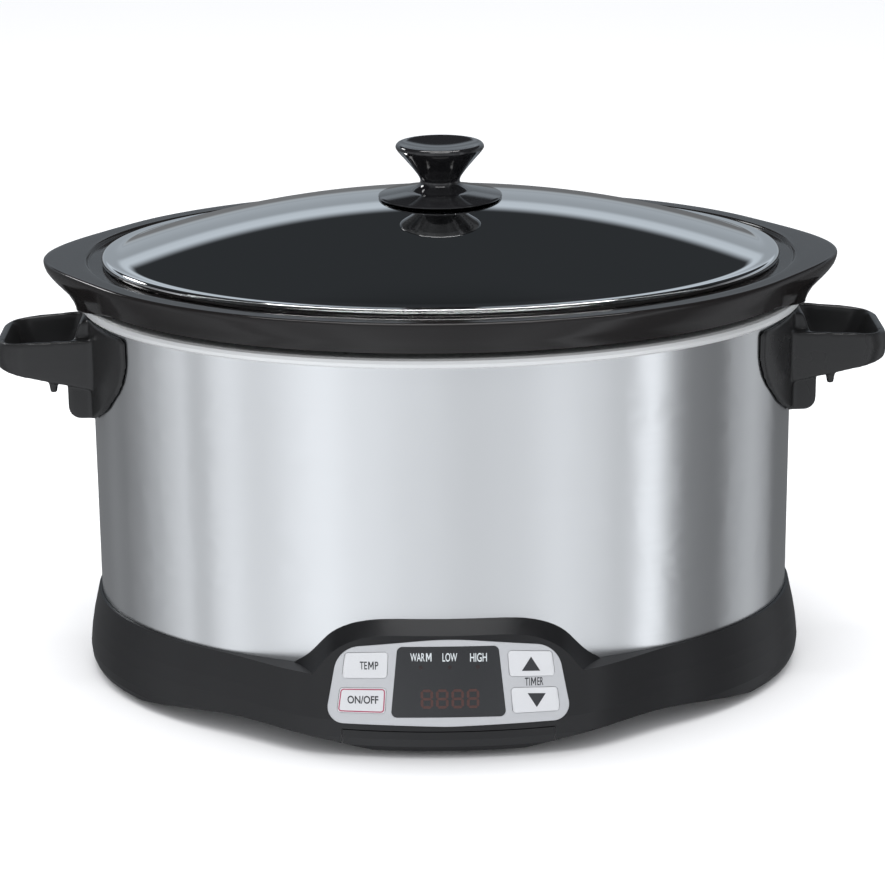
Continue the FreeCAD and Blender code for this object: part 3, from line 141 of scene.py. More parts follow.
def aim_camera():
    data = bpy.data.cameras.new("studio_camera")
    data.lens = CAMERA_LENS
    data.sensor_width = SENSOR_WIDTH
    data.clip_end = FAR_CLIP
    camera = bpy.data.objects.new("studio_camera", data)
    turn = (Matrix.Rotation(math.radians(CAMERA_HEADING), 4, "Z")
            @ Matrix.Rotation(math.radians(90 - CAMERA_DIP), 4, "X")
            @ Matrix.Rotation(math.radians(CAMERA_ROLL), 4, "Z"))
    camera.matrix_world = Matrix.Translation(CAMERA_PLACE) @ turn
    bpy.context.scene.collection.objects.link(camera)
    bpy.context.scene.camera = camera


def lay_floor():
    bm = bmesh.new()
    bmesh.ops.create_grid(bm, x_segments=8, y_segments=8, size=FLOOR_REACH)
    mesh = bpy.data.meshes.new("studio_floor")
    bm.to_mesh(mesh)
    bm.free()
    floor = bpy.data.objects.new("studio_floor", mesh)
    bpy.context.scene.collection.objects.link(floor)
    material, tree, shader = new_finish("floor_paper")
    fill(tree, shader, {"Base Color": FLOOR_COLOUR, "Roughness": 0.9, "Specular IOR Level": 0.0})
    mesh.materials.append(material)
    floor.visible_glossy = False
    floor.visible_transmission = False


def soft_light(name, place, target, width, height, power):
    data = bpy.data.lights.new(name, "AREA")
    data.shape = "RECTANGLE"
    data.size = width
    data.size_y = height
    data.energy = power
    light = bpy.data.objects.new(name, data)
    light.location = place
    aim = Vector(target) - Vector(place)
    light.rotation_euler = aim.to_track_quat("-Z", "Y").to_euler()
    bpy.context.scene.collection.objects.link(light)


def light_studio():
    """Pale paper all round, but reflections see the walls, the ceiling and the backdrop."""
    world = bpy.data.worlds.new("studio")
    bpy.context.scene.world = world
    world.use_nodes = True
    tree = world.node_tree
    tree.nodes.clear()
    where = add_node(tree, "TexCoord")
    x, y, z = add_node(tree, "SeparateXYZ", {0: where.outputs["Generated"]}).outputs
    compass = maths(tree, "ARCTAN2", x, maths(tree, "MULTIPLY", y, -1.0))
    share = maths(tree, "MULTIPLY_ADD", compass, 0.5 / math.pi, 0.5)
    walls = colour_ramp(tree, share, [((degrees + 180) / 360, (*(shade * t for t in WALL_TINT), 1))
                                      for degrees, shade in WALLS])
    middle = [(height, (shade, shade, shade * CEILING_BLUE, 1)) for height, shade in CEILING]
    ceiling = colour_ramp(tree, z, [CEILING_FOOT, *middle, CEILING_TOP])
    behind = maths(tree, "MULTIPLY", smooth_mask(tree, y, *REAR_SPAN),
                   smooth_mask(tree, z, *HORIZON_SPAN))
    lit = mix_colours(tree, behind, walls, BACKDROP)
    overhead = smooth_mask(tree, y, *OVERHEAD_SPAN, CEILING_FRONT_SHARE)
    shaded = mix_colours(tree, overhead, lit, ceiling, "MULTIPLY")
    path = add_node(tree, "LightPath")
    mirrored = maths(tree, "GREATER_THAN", path.outputs["Glossy Depth"], 0.5)
    back = add_node(tree, "Background", {"Color": mix_colours(tree, mirrored, PAPER, shaded)})
    add_node(tree, "OutputWorld", {"Surface": back.outputs[0]})
    for light in SOFT_LIGHTS:
        soft_light(*light)


# ---- shared surface effects ---------------------------------------------------------------
GRAIN_DEPTH = 0.02 * MM


def effect_group(name, inputs, outputs):
    """Empty node group: (label, default number or colour) inputs and (label, kind) outputs."""
    tree = bpy.data.node_groups.new(name, "ShaderNodeTree")
    for label, value in inputs:
        kind = "NodeSocketColor" if isinstance(value, tuple) else "NodeSocketFloat"
        socket = tree.interface.new_socket(label, in_out="INPUT", socket_type=kind)
        socket.default_value = value
    for label, kind in outputs:
        tree.interface.new_socket(label, in_out="OUTPUT", socket_type="NodeSocket" + kind)
    given = tree.nodes.new("NodeGroupInput").outputs
    return tree, given, tree.nodes.new("NodeGroupOutput")


def build_grain():
    """Fine moulded or cast grain."""
    tree, given, result = effect_group(
        "surface_grain", [("Scale", 900.0), ("Depth", GRAIN_DEPTH), ("Strength", 0.25)],
        [("Normal", "Vector")])
    where = add_node(tree, "TexCoord")
    noise = add_node(tree, "TexNoise", {"Vector": where.outputs["Object"],
                                        "Scale": given["Scale"], "Detail": 3.0})
    bump = add_node(tree, "Bump", {"Strength": given["Strength"], "Distance": given["Depth"],
                                   "Height": noise.outputs["Fac"]})
    fill(tree, result, {"Normal": bump.outputs["Normal"]})
    return tree


def build_drift():
    """Slow change of shade and gloss over a surface, with light smudges."""
    tree, given, result = effect_group(
        "shade_drift",
        [("Colour", (0.5, 0.5, 0.5, 1)), ("Scale", 14.0), ("Amount", 0.12), ("Roughness", 0.4),
         ("Smudge", 0.08)],
        [("Colour", "Color"), ("Roughness", "Float")])
    where = add_node(tree, "TexCoord")
    noise = add_node(tree, "TexNoise", {"Vector": where.outputs["Object"],
                                        "Scale": given["Scale"], "Detail": 4.0, "Roughness": 0.6})
    centred = maths(tree, "SUBTRACT", noise.outputs["Fac"], 0.5)
    shift = maths(tree, "MULTIPLY_ADD", centred, given["Amount"], 1.0)
    tint = add_node(tree, "VectorMath", {0: given["Colour"], "Scale": shift}, operation="SCALE")
    gloss = maths(tree, "MULTIPLY_ADD", centred, given["Smudge"], given["Roughness"])
    fill(tree, result, {"Colour": tint.outputs[0], "Roughness": gloss})
    return tree


def build_brushing():
    """Fine horizontal brush lines: long round the oval, close together up it."""
    tree, given, result = effect_group(
        "brush_lines",
        [("Along", 5.0), ("Across", 2600.0), ("Strength", 0.2), ("Roughness", 0.25)],
        [("Normal", "Vector"), ("Roughness", "Float")])
    where = add_node(tree, "TexCoord")
    stretch = add_node(tree, "CombineXYZ", {"X": given["Along"], "Y": given["Along"],
                                            "Z": given["Across"]})
    scaled = add_node(tree, "VectorMath", {0: where.outputs["Object"], 1: stretch.outputs[0]},
                      operation="MULTIPLY")
    noise = add_node(tree, "TexNoise", {"Vector": scaled.outputs[0], "Scale": 1.0, "Detail": 4.0,
                                        "Roughness": 0.65})
    bump = add_node(tree, "Bump", {"Strength": given["Strength"], "Distance": GRAIN_DEPTH,
                                   "Height": noise.outputs["Fac"]})
    gloss = maths(tree, "MULTIPLY_ADD", noise.outputs["Fac"], 0.10, given["Roughness"])
    fill(tree, result, {"Normal": bump.outputs["Normal"], "Roughness": gloss})
    return tree


GRAIN = build_grain()
DRIFT = build_drift()
BRUSHING = build_brushing()


# ---- kinds of finish ------------------------------------------------------------------------
def new_finish(name):
    material = bpy.data.materials.new(name)
    material.use_nodes = True
    return material, material.node_tree, material.node_tree.nodes["Principled BSDF"]


def add_effect(tree, group, **values):
    return add_node(tree, "Group", values, node_tree=group).outputs


def plain_finish(name, colour, roughness, metallic=0.0, specular=0.5, coat=0.0,
                 coat_roughness=0.05, drift=0.10, drift_scale=14.0, smudge=0.06,
                 grain_scale=900.0, grain=0.2, grain_depth=GRAIN_DEPTH):
    """Moulded, cast or plated surface: slow drift of shade and gloss over a fine grain."""
    material, tree, shader = new_finish(name)
    drifted = add_effect(tree, DRIFT, Colour=(*colour, 1), Scale=drift_scale, Amount=drift,
                         Roughness=roughness, Smudge=smudge)
    grained = add_effect(tree, GRAIN, Scale=grain_scale, Depth=grain_depth, Strength=grain)
    fill(tree, shader, {
        "Base Color": drifted["Colour"], "Roughness": drifted["Roughness"],
        "Normal": grained["Normal"], "Metallic": metallic, "Specular IOR Level": specular,
        "Coat Weight": coat, "Coat Roughness": coat_roughness})
    return material


def brushed_finish(name, colour, roughness, along, across, strength, anisotropic):
    """Metal brushed round Z."""
    material, tree, shader = new_finish(name)
    brushed = add_effect(tree, BRUSHING, Along=along, Across=across, Strength=strength,
                         Roughness=roughness)
    drifted = add_effect(tree, DRIFT, Colour=(*colour, 1), Scale=9.0, Amount=0.05,
                         Roughness=0.3, Smudge=0.0)
    tangent = add_node(tree, "Tangent", direction_type="RADIAL", axis="Z")
    fill(tree, shader, {
        "Base Color": drifted["Colour"], "Roughness": brushed["Roughness"],
        "Normal": brushed["Normal"], "Metallic": 1.0, "Anisotropic": anisotropic,
        "Anisotropic Rotation": 0.25, "Tangent": tangent.outputs[0]})
    return material


def glass_finish(name, colour):
    material, tree, shader = new_finish(name)
    drifted = add_effect(tree, DRIFT, Colour=(*colour, 1), Scale=6.0, Amount=0.03,
                         Roughness=0.0, Smudge=0.015)
    fill(tree, shader, {
        "Base Color": drifted["Colour"], "Roughness": drifted["Roughness"],
        "Transmission Weight": 1.0, "IOR": 1.5})
    return material


# ---- the studio -----------------------------------------------------------------------------
aim_camera()
lay_floor()
light_studio()
bpy.context.scene.view_settings.view_transform = "Standard"


# ---- the finish of each CAD node ------------------------------------------------------------
BRUSHED_WRAP = brushed_finish("brushed_wrap_steel", (0.88, 0.89, 0.90), 0.17, 5.0, 2600.0, 0.2,
                              0.85)
WELL_STEEL = plain_finish("satin_well_steel", (0.90, 0.91, 0.91), 0.42, metallic=0.7, grain=0.05)
BASE_PLASTIC = plain_finish("satin_black_base", (0.010, 0.010, 0.011), 0.32, specular=0.42,
                            grain_scale=1400, grain=0.12)
HANDLE_PLASTIC = plain_finish("black_handle_plastic", (0.014, 0.014, 0.0145), 0.28, specular=0.46,
                              grain_scale=1600, grain=0.12)
PLATE_PLASTIC = plain_finish("dark_underside_plastic", (0.03, 0.03, 0.032), 0.55, grain=0.3)
PANEL_SILVER = plain_finish("silver_panel_film", (0.56, 0.57, 0.59), 0.42, metallic=0.35,
                            drift=0.04, grain=0.08, grain_scale=2500)
KEY_SILVER = plain_finish("pale_key_film", (0.66, 0.67, 0.69), 0.45, metallic=0.15, drift=0.04,
                          grain=0.08, grain_scale=2500)
WINDOW_TINT = plain_finish("smoked_window", (0.016, 0.017, 0.019), 0.10, coat=0.5, grain=0.0,
                           drift=0.05, smudge=0.05)
FOOT_RUBBER = plain_finish("foot_rubber", (0.03, 0.03, 0.03), 0.8, grain=0.5, grain_scale=1800)
GLAND_PLASTIC = plain_finish("gland_plastic", (0.02, 0.02, 0.021), 0.5, grain=0.3)
PLATED_STEEL = plain_finish("plated_steel", (0.62, 0.60, 0.55), 0.32, metallic=1.0, drift=0.2,
                            smudge=0.15)
MICA_BAND = plain_finish("mica_band", (0.52, 0.47, 0.38), 0.5, metallic=0.6, drift=0.35,
                         drift_scale=40)
BRASS = plain_finish("terminal_brass", (0.78, 0.58, 0.26), 0.32, metallic=1.0, drift=0.15)
GLASS_WOOL = plain_finish("glass_wool", (0.80, 0.76, 0.64), 0.95, drift=0.35, drift_scale=120,
                          grain=1.0, grain_scale=700, grain_depth=0.4 * MM)
ALUMINIUM = plain_finish("reflector_aluminium", (0.80, 0.81, 0.82), 0.28, metallic=1.0, drift=0.10)
FUSE_METAL = plain_finish("fuse_metal", (0.66, 0.62, 0.52), 0.35, metallic=1.0)
BOARD_GREEN = plain_finish("circuit_board", (0.03, 0.16, 0.07), 0.42, drift=0.3, drift_scale=160)
RELAY_PLASTIC = plain_finish("relay_plastic", (0.03, 0.09, 0.28), 0.45)
CAPACITOR_PLASTIC = plain_finish("film_capacitor_plastic", (0.62, 0.45, 0.08), 0.45)
TERMINAL_PLASTIC = plain_finish("terminal_plastic", (0.10, 0.26, 0.14), 0.5)
CAPACITOR_SLEEVE = plain_finish("capacitor_sleeve", (0.02, 0.02, 0.03), 0.3)
WIRE_SLEEVE = plain_finish("wire_sleeve", (0.70, 0.68, 0.62), 0.7, grain=0.7, grain_scale=1500)
RIBBON_GREY = plain_finish("ribbon_grey", (0.42, 0.42, 0.43), 0.55)
CHIP_PLASTIC = plain_finish("chip_plastic", (0.02, 0.02, 0.022), 0.5)
DISPLAY_FACE = plain_finish("display_face", (0.035, 0.02, 0.02), 0.35)
LED_LENS = plain_finish("led_lens", (0.55, 0.12, 0.10), 0.2)
PLUNGER_PLASTIC = plain_finish("plunger_plastic", (0.75, 0.74, 0.70), 0.5)
CROCK_GLAZE = plain_finish("black_crock_glaze", (0.010, 0.009, 0.009), 0.12, specular=0.36,
                           drift=0.25, drift_scale=30, smudge=0.05, grain_scale=160, grain=0.10,
                           grain_depth=0.06 * MM)
LID_GLASS = glass_finish("lid_tempered_glass", (0.93, 0.955, 0.96))
KNOB_GLOSS = plain_finish("gloss_black_knob", (0.010, 0.010, 0.011), 0.08, specular=0.55, coat=0.4,
                          coat_roughness=0.02, grain=0.0, drift=0.1, smudge=0.03)
GASKET = plain_finish("silicone_gasket", (0.05, 0.05, 0.05), 0.6)
LABEL_DARK = plain_finish("dark_print", (0.030, 0.031, 0.036), 0.5, grain=0.0)
LABEL_PALE = plain_finish("pale_print", (0.62, 0.66, 0.68), 0.4, grain=0.0)
LABEL_CRIMSON = plain_finish("crimson_print", (0.38, 0.06, 0.12), 0.45, grain=0.0)
SEGMENT_BROWN = plain_finish("unlit_segments", (0.070, 0.032, 0.028), 0.22, grain=0.0)
DIM_LAMP = plain_finish("unlit_lamps", (0.026, 0.017, 0.017), 0.2, grain=0.0)

NODE_FINISH = {
    "steel_wrap": BRUSHED_WRAP, "heating_well": WELL_STEEL, "base_housing": BASE_PLASTIC,
    "chin_cover": BASE_PLASTIC, "panel_plate": PANEL_SILVER, "display_window": WINDOW_TINT,
    "base_plate": PLATE_PLASTIC, "rubber_feet": FOOT_RUBBER, "cord_gland": GLAND_PLASTIC,
    "right_handle": HANDLE_PLASTIC, "left_handle": HANDLE_PLASTIC,
    "handle_backing_plates": PLATED_STEEL, "handle_screws": PLATED_STEEL,
    "heating_band": MICA_BAND, "band_clamps": PLATED_STEEL, "heater_terminals": BRASS,
    "insulation_blanket": GLASS_WOOL, "bottom_reflector": ALUMINIUM, "tie_stud": PLATED_STEEL,
    "tie_spacer": PLATED_STEEL, "tie_nut": PLATED_STEEL, "temperature_sensor": ALUMINIUM,
    "sensor_spring": PLATED_STEEL, "sensor_bracket": PLATED_STEEL, "thermal_fuse": FUSE_METAL,
    "fuse_clip": PLATED_STEEL, "power_board": BOARD_GREEN, "power_board_screws": PLATED_STEEL,
    "relay": RELAY_PLASTIC, "film_capacitor": CAPACITOR_PLASTIC,
    "terminal_block": TERMINAL_PLASTIC, "smoothing_capacitors": CAPACITOR_SLEEVE,
    "heater_wires": WIRE_SLEEVE, "ribbon_cable": RIBBON_GREY, "control_board": BOARD_GREEN,
    "control_board_screws": PLATED_STEEL, "microcontroller": CHIP_PLASTIC,
    "digit_display": DISPLAY_FACE, "indicator_leds": LED_LENS, "switch_bodies": CHIP_PLASTIC,
    "base_plate_screws": PLATED_STEEL, "chin_cover_screws": PLATED_STEEL, "crock": CROCK_GLAZE,
    "lid_glass": LID_GLASS, "lid_knob": KNOB_GLOSS, "knob_disc": KNOB_GLOSS, "knob_gasket": GASKET,
    "knob_washer": PLATED_STEEL, "knob_screw": PLATED_STEEL}
KEYS = {"temp_button": "temp_key", "power_button": "power_key", "timer_up_button": "timer_up_key",
        "timer_down_button": "timer_down_key"}
for button in KEYS:
    NODE_FINISH[button] = KEY_SILVER
    NODE_FINISH[button.replace("_button", "_plunger")] = PLUNGER_PLASTIC
for node, finish in NODE_FINISH.items():
    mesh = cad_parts[node].data
    mesh.materials.clear()
    mesh.materials.append(finish)


# ---- modelling helpers ------------------------------------------------------------------
TURN_STEPS = 112
SAME_POINT = 0.002 * MM       # mesh points closer than this are merged


def new_piece(name, bm, finish, body, replaced=()):
    """Mesh object at the origin, smooth but for its sharp edges, riding on a CAD body."""
    mesh = bpy.data.meshes.new(name)
    bm.to_mesh(mesh)
    bm.free()
    for polygon in mesh.polygons:
        polygon.use_smooth = True
    mesh.set_sharp_from_angle(angle=SHARP)
    mesh.materials.append(finish)
    piece = bpy.data.objects.new(name, mesh)
    bpy.context.scene.collection.objects.link(piece)
    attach(piece, body)
    if replaced:
        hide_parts(*replaced)


def ring_stack(levels, stations, place, closed):
    """Tube of rings whose points place(angle, level) puts. Closed joins its two ends."""
    bm = bmesh.new()
    bmesh.ops.create_circle(bm, segments=stations, radius=1.0)
    edges = bm.edges[:]
    first = edges
    for _ in levels[1:]:
        made = bmesh.ops.extrude_edge_only(bm, edges=edges)["geom"]
        risen = {v for v in made if isinstance(v, bmesh.types.BMVert)}
        bmesh.ops.translate(bm, verts=list(risen), vec=(0, 0, 1))
        edges = [e for e in made if isinstance(e, bmesh.types.BMEdge) and e.verts[0] in risen
                 and e.verts[1] in risen]
    if closed:
        bmesh.ops.bridge_loops(bm, edges=first + edges)
    else:
        bmesh.ops.holes_fill(bm, edges=first + edges)
    for vertex in bm.verts:
        angle = math.atan2(vertex.co.y, vertex.co.x)
        vertex.co = place(angle, levels[round(vertex.co.z)])
    bmesh.ops.recalc_face_normals(bm, faces=bm.faces[:])
    return bm


def smooth_profile(points, steps):
    """Points of a smooth line through the given ones (Catmull-Rom)."""
    full = [points[0]] + list(points) + [points[-1]]
    line = []
    for a, b, c, d in zip(full, full[1:], full[2:], full[3:]):
        for i in range(steps):
            t = i / steps
            line.append(tuple(0.5 * (2 * q + (r - p) * t + (2 * p - 5 * q + 4 * r - s) * t * t
                                     + (3 * q - p - 3 * r + s) * t ** 3) for p, q, r,
                                     s in zip(a, b, c, d)))
    line.append(tuple(points[-1]))
    return line


def turned(profile):
    """Full spin about Z of a (radius, height) profile whose ends are on the axis or meet."""
    bm = bmesh.new()
    verts = [bm.verts.new((r, 0, z)) for r, z in profile]
    edges = [bm.edges.new(pair) for pair in zip(verts, verts[1:])]
    if profile[0][0] > 0 and profile[-1][0] > 0:
        edges.append(bm.edges.new((verts[-1], verts[0])))
    bmesh.ops.spin(bm, geom=verts + edges, cent=(0, 0, 0), axis=(0, 0, 1), angle=2 * math.pi,
                   steps=TURN_STEPS,
                   use_merge=True)
    bmesh.ops.remove_doubles(bm, verts=bm.verts[:], dist=SAME_POINT / 20)
    bmesh.ops.recalc_face_normals(bm, faces=bm.faces[:])
    return bm


def cad_copy(node):
    """Merged copy of a CAD node's mesh."""
    bm = bmesh.new()
    bm.from_mesh(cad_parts[node].data)
    bmesh.ops.remove_doubles(bm, verts=bm.verts[:], dist=SAME_POINT)
    bmesh.ops.dissolve_degenerate(bm, edges=bm.edges[:], dist=SAME_POINT / 2)
    return bm


# ---- crock ------------------------------------------------------------------------------
crock_low, crock_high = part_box("crock")
CROCK_STATIONS = 320
LUG_HALF_WIDTH = 70 * MM
CROCK_TOP = crock_high.z
COLLAR_UNDER = CROCK_TOP - 15.8 * MM   # underside of the collar
LEDGE = CROCK_TOP - 2.4 * MM           # seat of the lid
CROCK_FOOT = crock_low.z
BOWL_FLOOR = CROCK_FOOT + 9.7 * MM     # floor inside
# Rows under each level, in mm: offset from the wrap's oval, extra offset at the lugs, reach of the
# lugs, height above the level, drop at the lugs. From under the foot, up the outside and back in.
CROCK_ROWS = [
    (CROCK_FOOT, [(-60, 0, 0, 0, 0), (-36, 0, 0, 0, 0), (-31, 0, 0, 0, 0), (-28, 0, 0, 0.4, 0),
                  (-25, 0, 0, 1.5, 0), (-22, 0, 0, 4, 0), (-20, 0, 0, 7, 0), (-18.6, 0, 0, 13, 0),
                  (-17.5, 0, 0, 22, 0), (-16.4, 0, 0, 50, 0), (-14.5, 0, 0, 101.7, 0)]),
    (COLLAR_UNDER, [(-13.1, 0, 0, -3, 0), (-13, 0, 0, 0, 0), (-6, 0, 0, 0, 0),
                    (3.0, 2.4, 0, 0, 0), (3.0, 2.5, 0, 0, 0.6), (3.0, 2.6, 0, 0, 9.0),
                    (3.1, 2.5, 1.4, 0, 9.3), (3.3, 0.6, 2.9, 0, 8.9), (3.6, 0, 4.8, 0, 4.6),
                    (3.9, 0, 7.8, 0.6, 0), (4.7, 0, 9.0, 2.4, 0)]),
    (CROCK_TOP, [(6.4, 0, 10.5, -10.5, 0), (7.7, 0, 11.6, -8, 0), (8.8, 0, 12.4, -5.5, 0),
                 (9.8, 0, 12.3, -3.2, 0), (10.3, 0, 12.0, -1.9, 0), (10.35, 0, 12.0, -1.3, 0),
                 (10.2, 0, 12.0, -0.75, 0), (9.8, 0, 12.0, -0.3, 0), (9.2, 0, 12.0, -0.05, 0),
                 (8.4, 0, 11.6, 0, 0), (6.4, 0, 8.5, 0, 0), (4.2, 0, 4.0, 0, 0),
                 (1.9, 0, 0, 0, 0), (1.3, 0, 0, -0.1, 0), (0.9, 0, 0, -0.45, 0),
                 (0.6, 0, 0, -1.1, 0)]),
    (LEDGE, [(0.2, 0, 0, 0.45, 0), (-0.3, 0, 0, 0.1, 0), (-0.9, 0, 0, 0, 0), (-7, 0, 0, 0, 0),
             (-13.6, 0, 0, 0, 0), (-14.9, 0, 0, -0.25, 0), (-15.9, 0, 0, -1.0, 0),
             (-16.6, 0, 0, -2.2, 0), (-17, 0, 0, -4.5, 0), (-18, 0, 0, -24, 0),
             (-19.3, 0, 0, -48.6, 0)]),
    (BOWL_FLOOR, [(-20.7, 0, 0, 66, 0), (-22.5, 0, 0, 32, 0), (-23.8, 0, 0, 20, 0),
                  (-25.5, 0, 0, 10, 0), (-27.4, 0, 0, 5, 0), (-30, 0, 0, 2.2, 0),
                  (-33.4, 0, 0, 0.5, 0), (-37, 0, 0, 0, 0), (-70, 0, 0, 0, 0)])]
CROCK_LEVELS = [(offset, more, lug, level + rise * MM, drop)
                for level, rows in CROCK_ROWS for offset, more, lug, rise, drop in rows]


def crock_point(angle, level):
    offset, more, lug, height, drop = level
    share = min(abs((HALF_WIDTH + offset * MM) * math.sin(angle)) / LUG_HALF_WIDTH, 1.0)
    bulge = math.cos(math.pi / 2 * share) ** 2
    reach = (offset + more * bulge) * MM
    x = (HALF_LENGTH + reach) * math.cos(angle)
    y = (HALF_WIDTH + reach) * math.sin(angle)
    return Vector((x + math.copysign(lug * bulge * MM, x), y, height - drop * bulge * MM))


bowl = ring_stack(CROCK_LEVELS, CROCK_STATIONS, crock_point, False)
new_piece("crock_bowl", bowl, CROCK_GLAZE, "crock", ["crock"])


# ---- lid glass ----------------------------------------------------------------------------
glass_low, glass_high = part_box("lid_glass")
GLASS_STATIONS = 288
GLASS_HOLE = 3.4 * MM             # round the knob's screw
GLASS_THICKNESS = 4.1 * MM
GLASS_SEAT = glass_low.z
GLASS_REACH = glass_high.x
NARROWING = glass_high.y / glass_high.x
RIM_TOP = GLASS_SEAT + GLASS_THICKNESS
DOME_RISE = glass_high.z - RIM_TOP
DOME_REACH = GLASS_REACH - 7 * MM
SEAT_REACH = GLASS_REACH - 10 * MM     # where the flat seat ends and the dome begins, inside
DOME_RADIUS = (DOME_REACH ** 2 + DOME_RISE ** 2) / (2 * DOME_RISE)
ARC_STEPS = 30
BEAD_STEPS = 12


def arc_height(radius, peak, sphere):
    """Height of a dome over a place: the dome's peak and its radius as part of a ball."""
    return peak - sphere + math.sqrt(sphere ** 2 - radius ** 2)


def pane_profile():
    """Closed (radius, height) outline of the glass, from the knob's hole outward and back."""
    arc = DOME_REACH - 3 * MM - GLASS_HOLE
    outer = [GLASS_HOLE + arc * i / ARC_STEPS for i in range(ARC_STEPS + 1)]
    line = [(r, arc_height(r, glass_high.z, DOME_RADIUS)) for r in outer]
    last = line[-1][1]
    line += [(DOME_REACH - 1.2 * MM, RIM_TOP + (last - RIM_TOP) * 0.36),
             (DOME_REACH + 0.6 * MM, RIM_TOP + 0.10 * MM), (DOME_REACH + 2.4 * MM, RIM_TOP)]
    bead = GLASS_THICKNESS / 2
    for i in range(BEAD_STEPS + 1):
        turn = math.pi * i / BEAD_STEPS
        line.append((GLASS_REACH - bead + bead * math.sin(turn),
                     RIM_TOP - bead + bead * math.cos(turn)))
    line += [(SEAT_REACH + 3 * MM, GLASS_SEAT), (SEAT_REACH + 1.4 * MM, GLASS_SEAT + 0.1 * MM)]
    arc = SEAT_REACH - GLASS_HOLE
    under = [SEAT_REACH - arc * i / ARC_STEPS for i in range(ARC_STEPS + 1)]
    line += [(r, arc_height(r, glass_high.z - GLASS_THICKNESS, DOME_RADIUS - GLASS_THICKNESS))
             for r in under]
    return line


def pane_point(angle, level):
    radius, height = level
    return Vector((radius * math.cos(angle), radius * math.sin(angle) * NARROWING, height))


new_piece("lid_pane", ring_stack(pane_profile(), GLASS_STATIONS, pane_point, True), LID_GLASS,
          "lid", ["lid_glass"])


# ---- knob and its disc ---------------------------------------------------------------------
knob_low, knob_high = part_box("lid_knob")
KNOB_FOOT = knob_low.z
KNOB_TOP = knob_high.z
KNOB_RADIUS = knob_high.x
LIP = KNOB_RADIUS - 2.1 * MM
LIP_HEIGHT = KNOB_TOP - 0.05 * MM
DISH_DEPTH = 2.9 * MM
DISH_STEPS = 10
SIDE_STEPS = 5                # between given points
KNOB_SIDE = smooth_profile([
    (14.2 * MM, KNOB_FOOT), (13.2 * MM, KNOB_FOOT + 0.8 * MM), (11.2 * MM, KNOB_FOOT + 2.1 * MM),
    (9.8 * MM, KNOB_FOOT + 4.2 * MM), (10.5 * MM, KNOB_FOOT + 6.8 * MM),
    (13.2 * MM, KNOB_FOOT + 10.6 * MM), (17.2 * MM, KNOB_FOOT + 15.4 * MM),
    (KNOB_RADIUS - 1.5 * MM, KNOB_TOP - 4.4 * MM), (KNOB_RADIUS - 0.4 * MM, KNOB_TOP - 2.9 * MM),
    (KNOB_RADIUS, KNOB_TOP - 1.9 * MM), (KNOB_RADIUS - 0.3 * MM, KNOB_TOP - 0.9 * MM),
    (KNOB_RADIUS - 1.1 * MM, KNOB_TOP - 0.15 * MM), (LIP, LIP_HEIGHT)], SIDE_STEPS)
SHARES = [1 - i / DISH_STEPS for i in range(1, DISH_STEPS + 1)]
DISH = [(LIP * share, LIP_HEIGHT - DISH_DEPTH * (1 - share ** 2)) for share in SHARES]
new_piece("grip_knob", turned([(0, KNOB_FOOT)] + KNOB_SIDE + DISH), KNOB_GLOSS, "lid",
          ["lid_knob"])

disc_low, disc_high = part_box("knob_disc")
DISC_EDGE = disc_low.z
DISC_TOP = disc_high.z
DISC_RADIUS = disc_high.x
DISC_SEAT = DISC_TOP - 2.2 * MM
CONE_TOP = DISC_TOP - 0.12 * MM
DISC_OUTLINE = [
    (2.5 * MM, DISC_SEAT), (12.5 * MM, DISC_SEAT), (DISC_RADIUS - 1.0 * MM, DISC_EDGE + 0.03 * MM),
    (DISC_RADIUS - 0.35 * MM, DISC_EDGE + 0.12 * MM),
    (DISC_RADIUS - 0.05 * MM, DISC_EDGE + 0.35 * MM), (DISC_RADIUS, DISC_EDGE + 0.6 * MM),
    (DISC_RADIUS - 0.1 * MM, DISC_EDGE + 0.85 * MM),
    (DISC_RADIUS - 0.5 * MM, DISC_EDGE + 1.1 * MM), (DISC_RADIUS - 1.2 * MM, DISC_EDGE + 1.3 * MM),
    (23.0 * MM, DISC_EDGE + 1.2 * MM + (CONE_TOP - DISC_EDGE - 1.2 * MM) * 0.52),
    (17.5 * MM, CONE_TOP - 0.1 * MM), (16.3 * MM, CONE_TOP), (15.2 * MM, DISC_TOP),
    (2.5 * MM, DISC_TOP)]
new_piece("knob_plate", turned(DISC_OUTLINE), KNOB_GLOSS, "lid", ["knob_disc"])


# ---- handles ---------------------------------------------------------------------------
HANDLE_VOXEL = 0.8 * MM
SMOOTH_PASSES = 8


def moulded_copy(name, node, finish, body):
    """Copy of a CAD node with its edges softened as a mould leaves them."""
    source = bpy.data.meshes.new(name + "_rough")
    bm = cad_copy(node)
    bm.to_mesh(source)
    bm.free()
    rough = bpy.data.objects.new(name + "_rough", source)
    bpy.context.scene.collection.objects.link(rough)
    remesh = rough.modifiers.new("even_skin", "REMESH")
    remesh.mode = "VOXEL"
    remesh.voxel_size = HANDLE_VOXEL
    bpy.context.view_layer.update()
    graph = bpy.context.evaluated_depsgraph_get()
    even = bpy.data.meshes.new_from_object(rough.evaluated_get(graph))
    bpy.data.objects.remove(rough)
    bpy.data.meshes.remove(source)
    bm = bmesh.new()
    bm.from_mesh(even)
    bpy.data.meshes.remove(even)
    for _ in range(SMOOTH_PASSES):
        bmesh.ops.smooth_vert(bm, verts=bm.verts[:], factor=0.5, use_axis_x=True,
                              use_axis_y=True, use_axis_z=True)
    new_piece(name, bm, finish, body, [node])


for side in ("right", "left"):
    moulded_copy(side + "_grip", side + "_handle", HANDLE_PLASTIC, "housing")


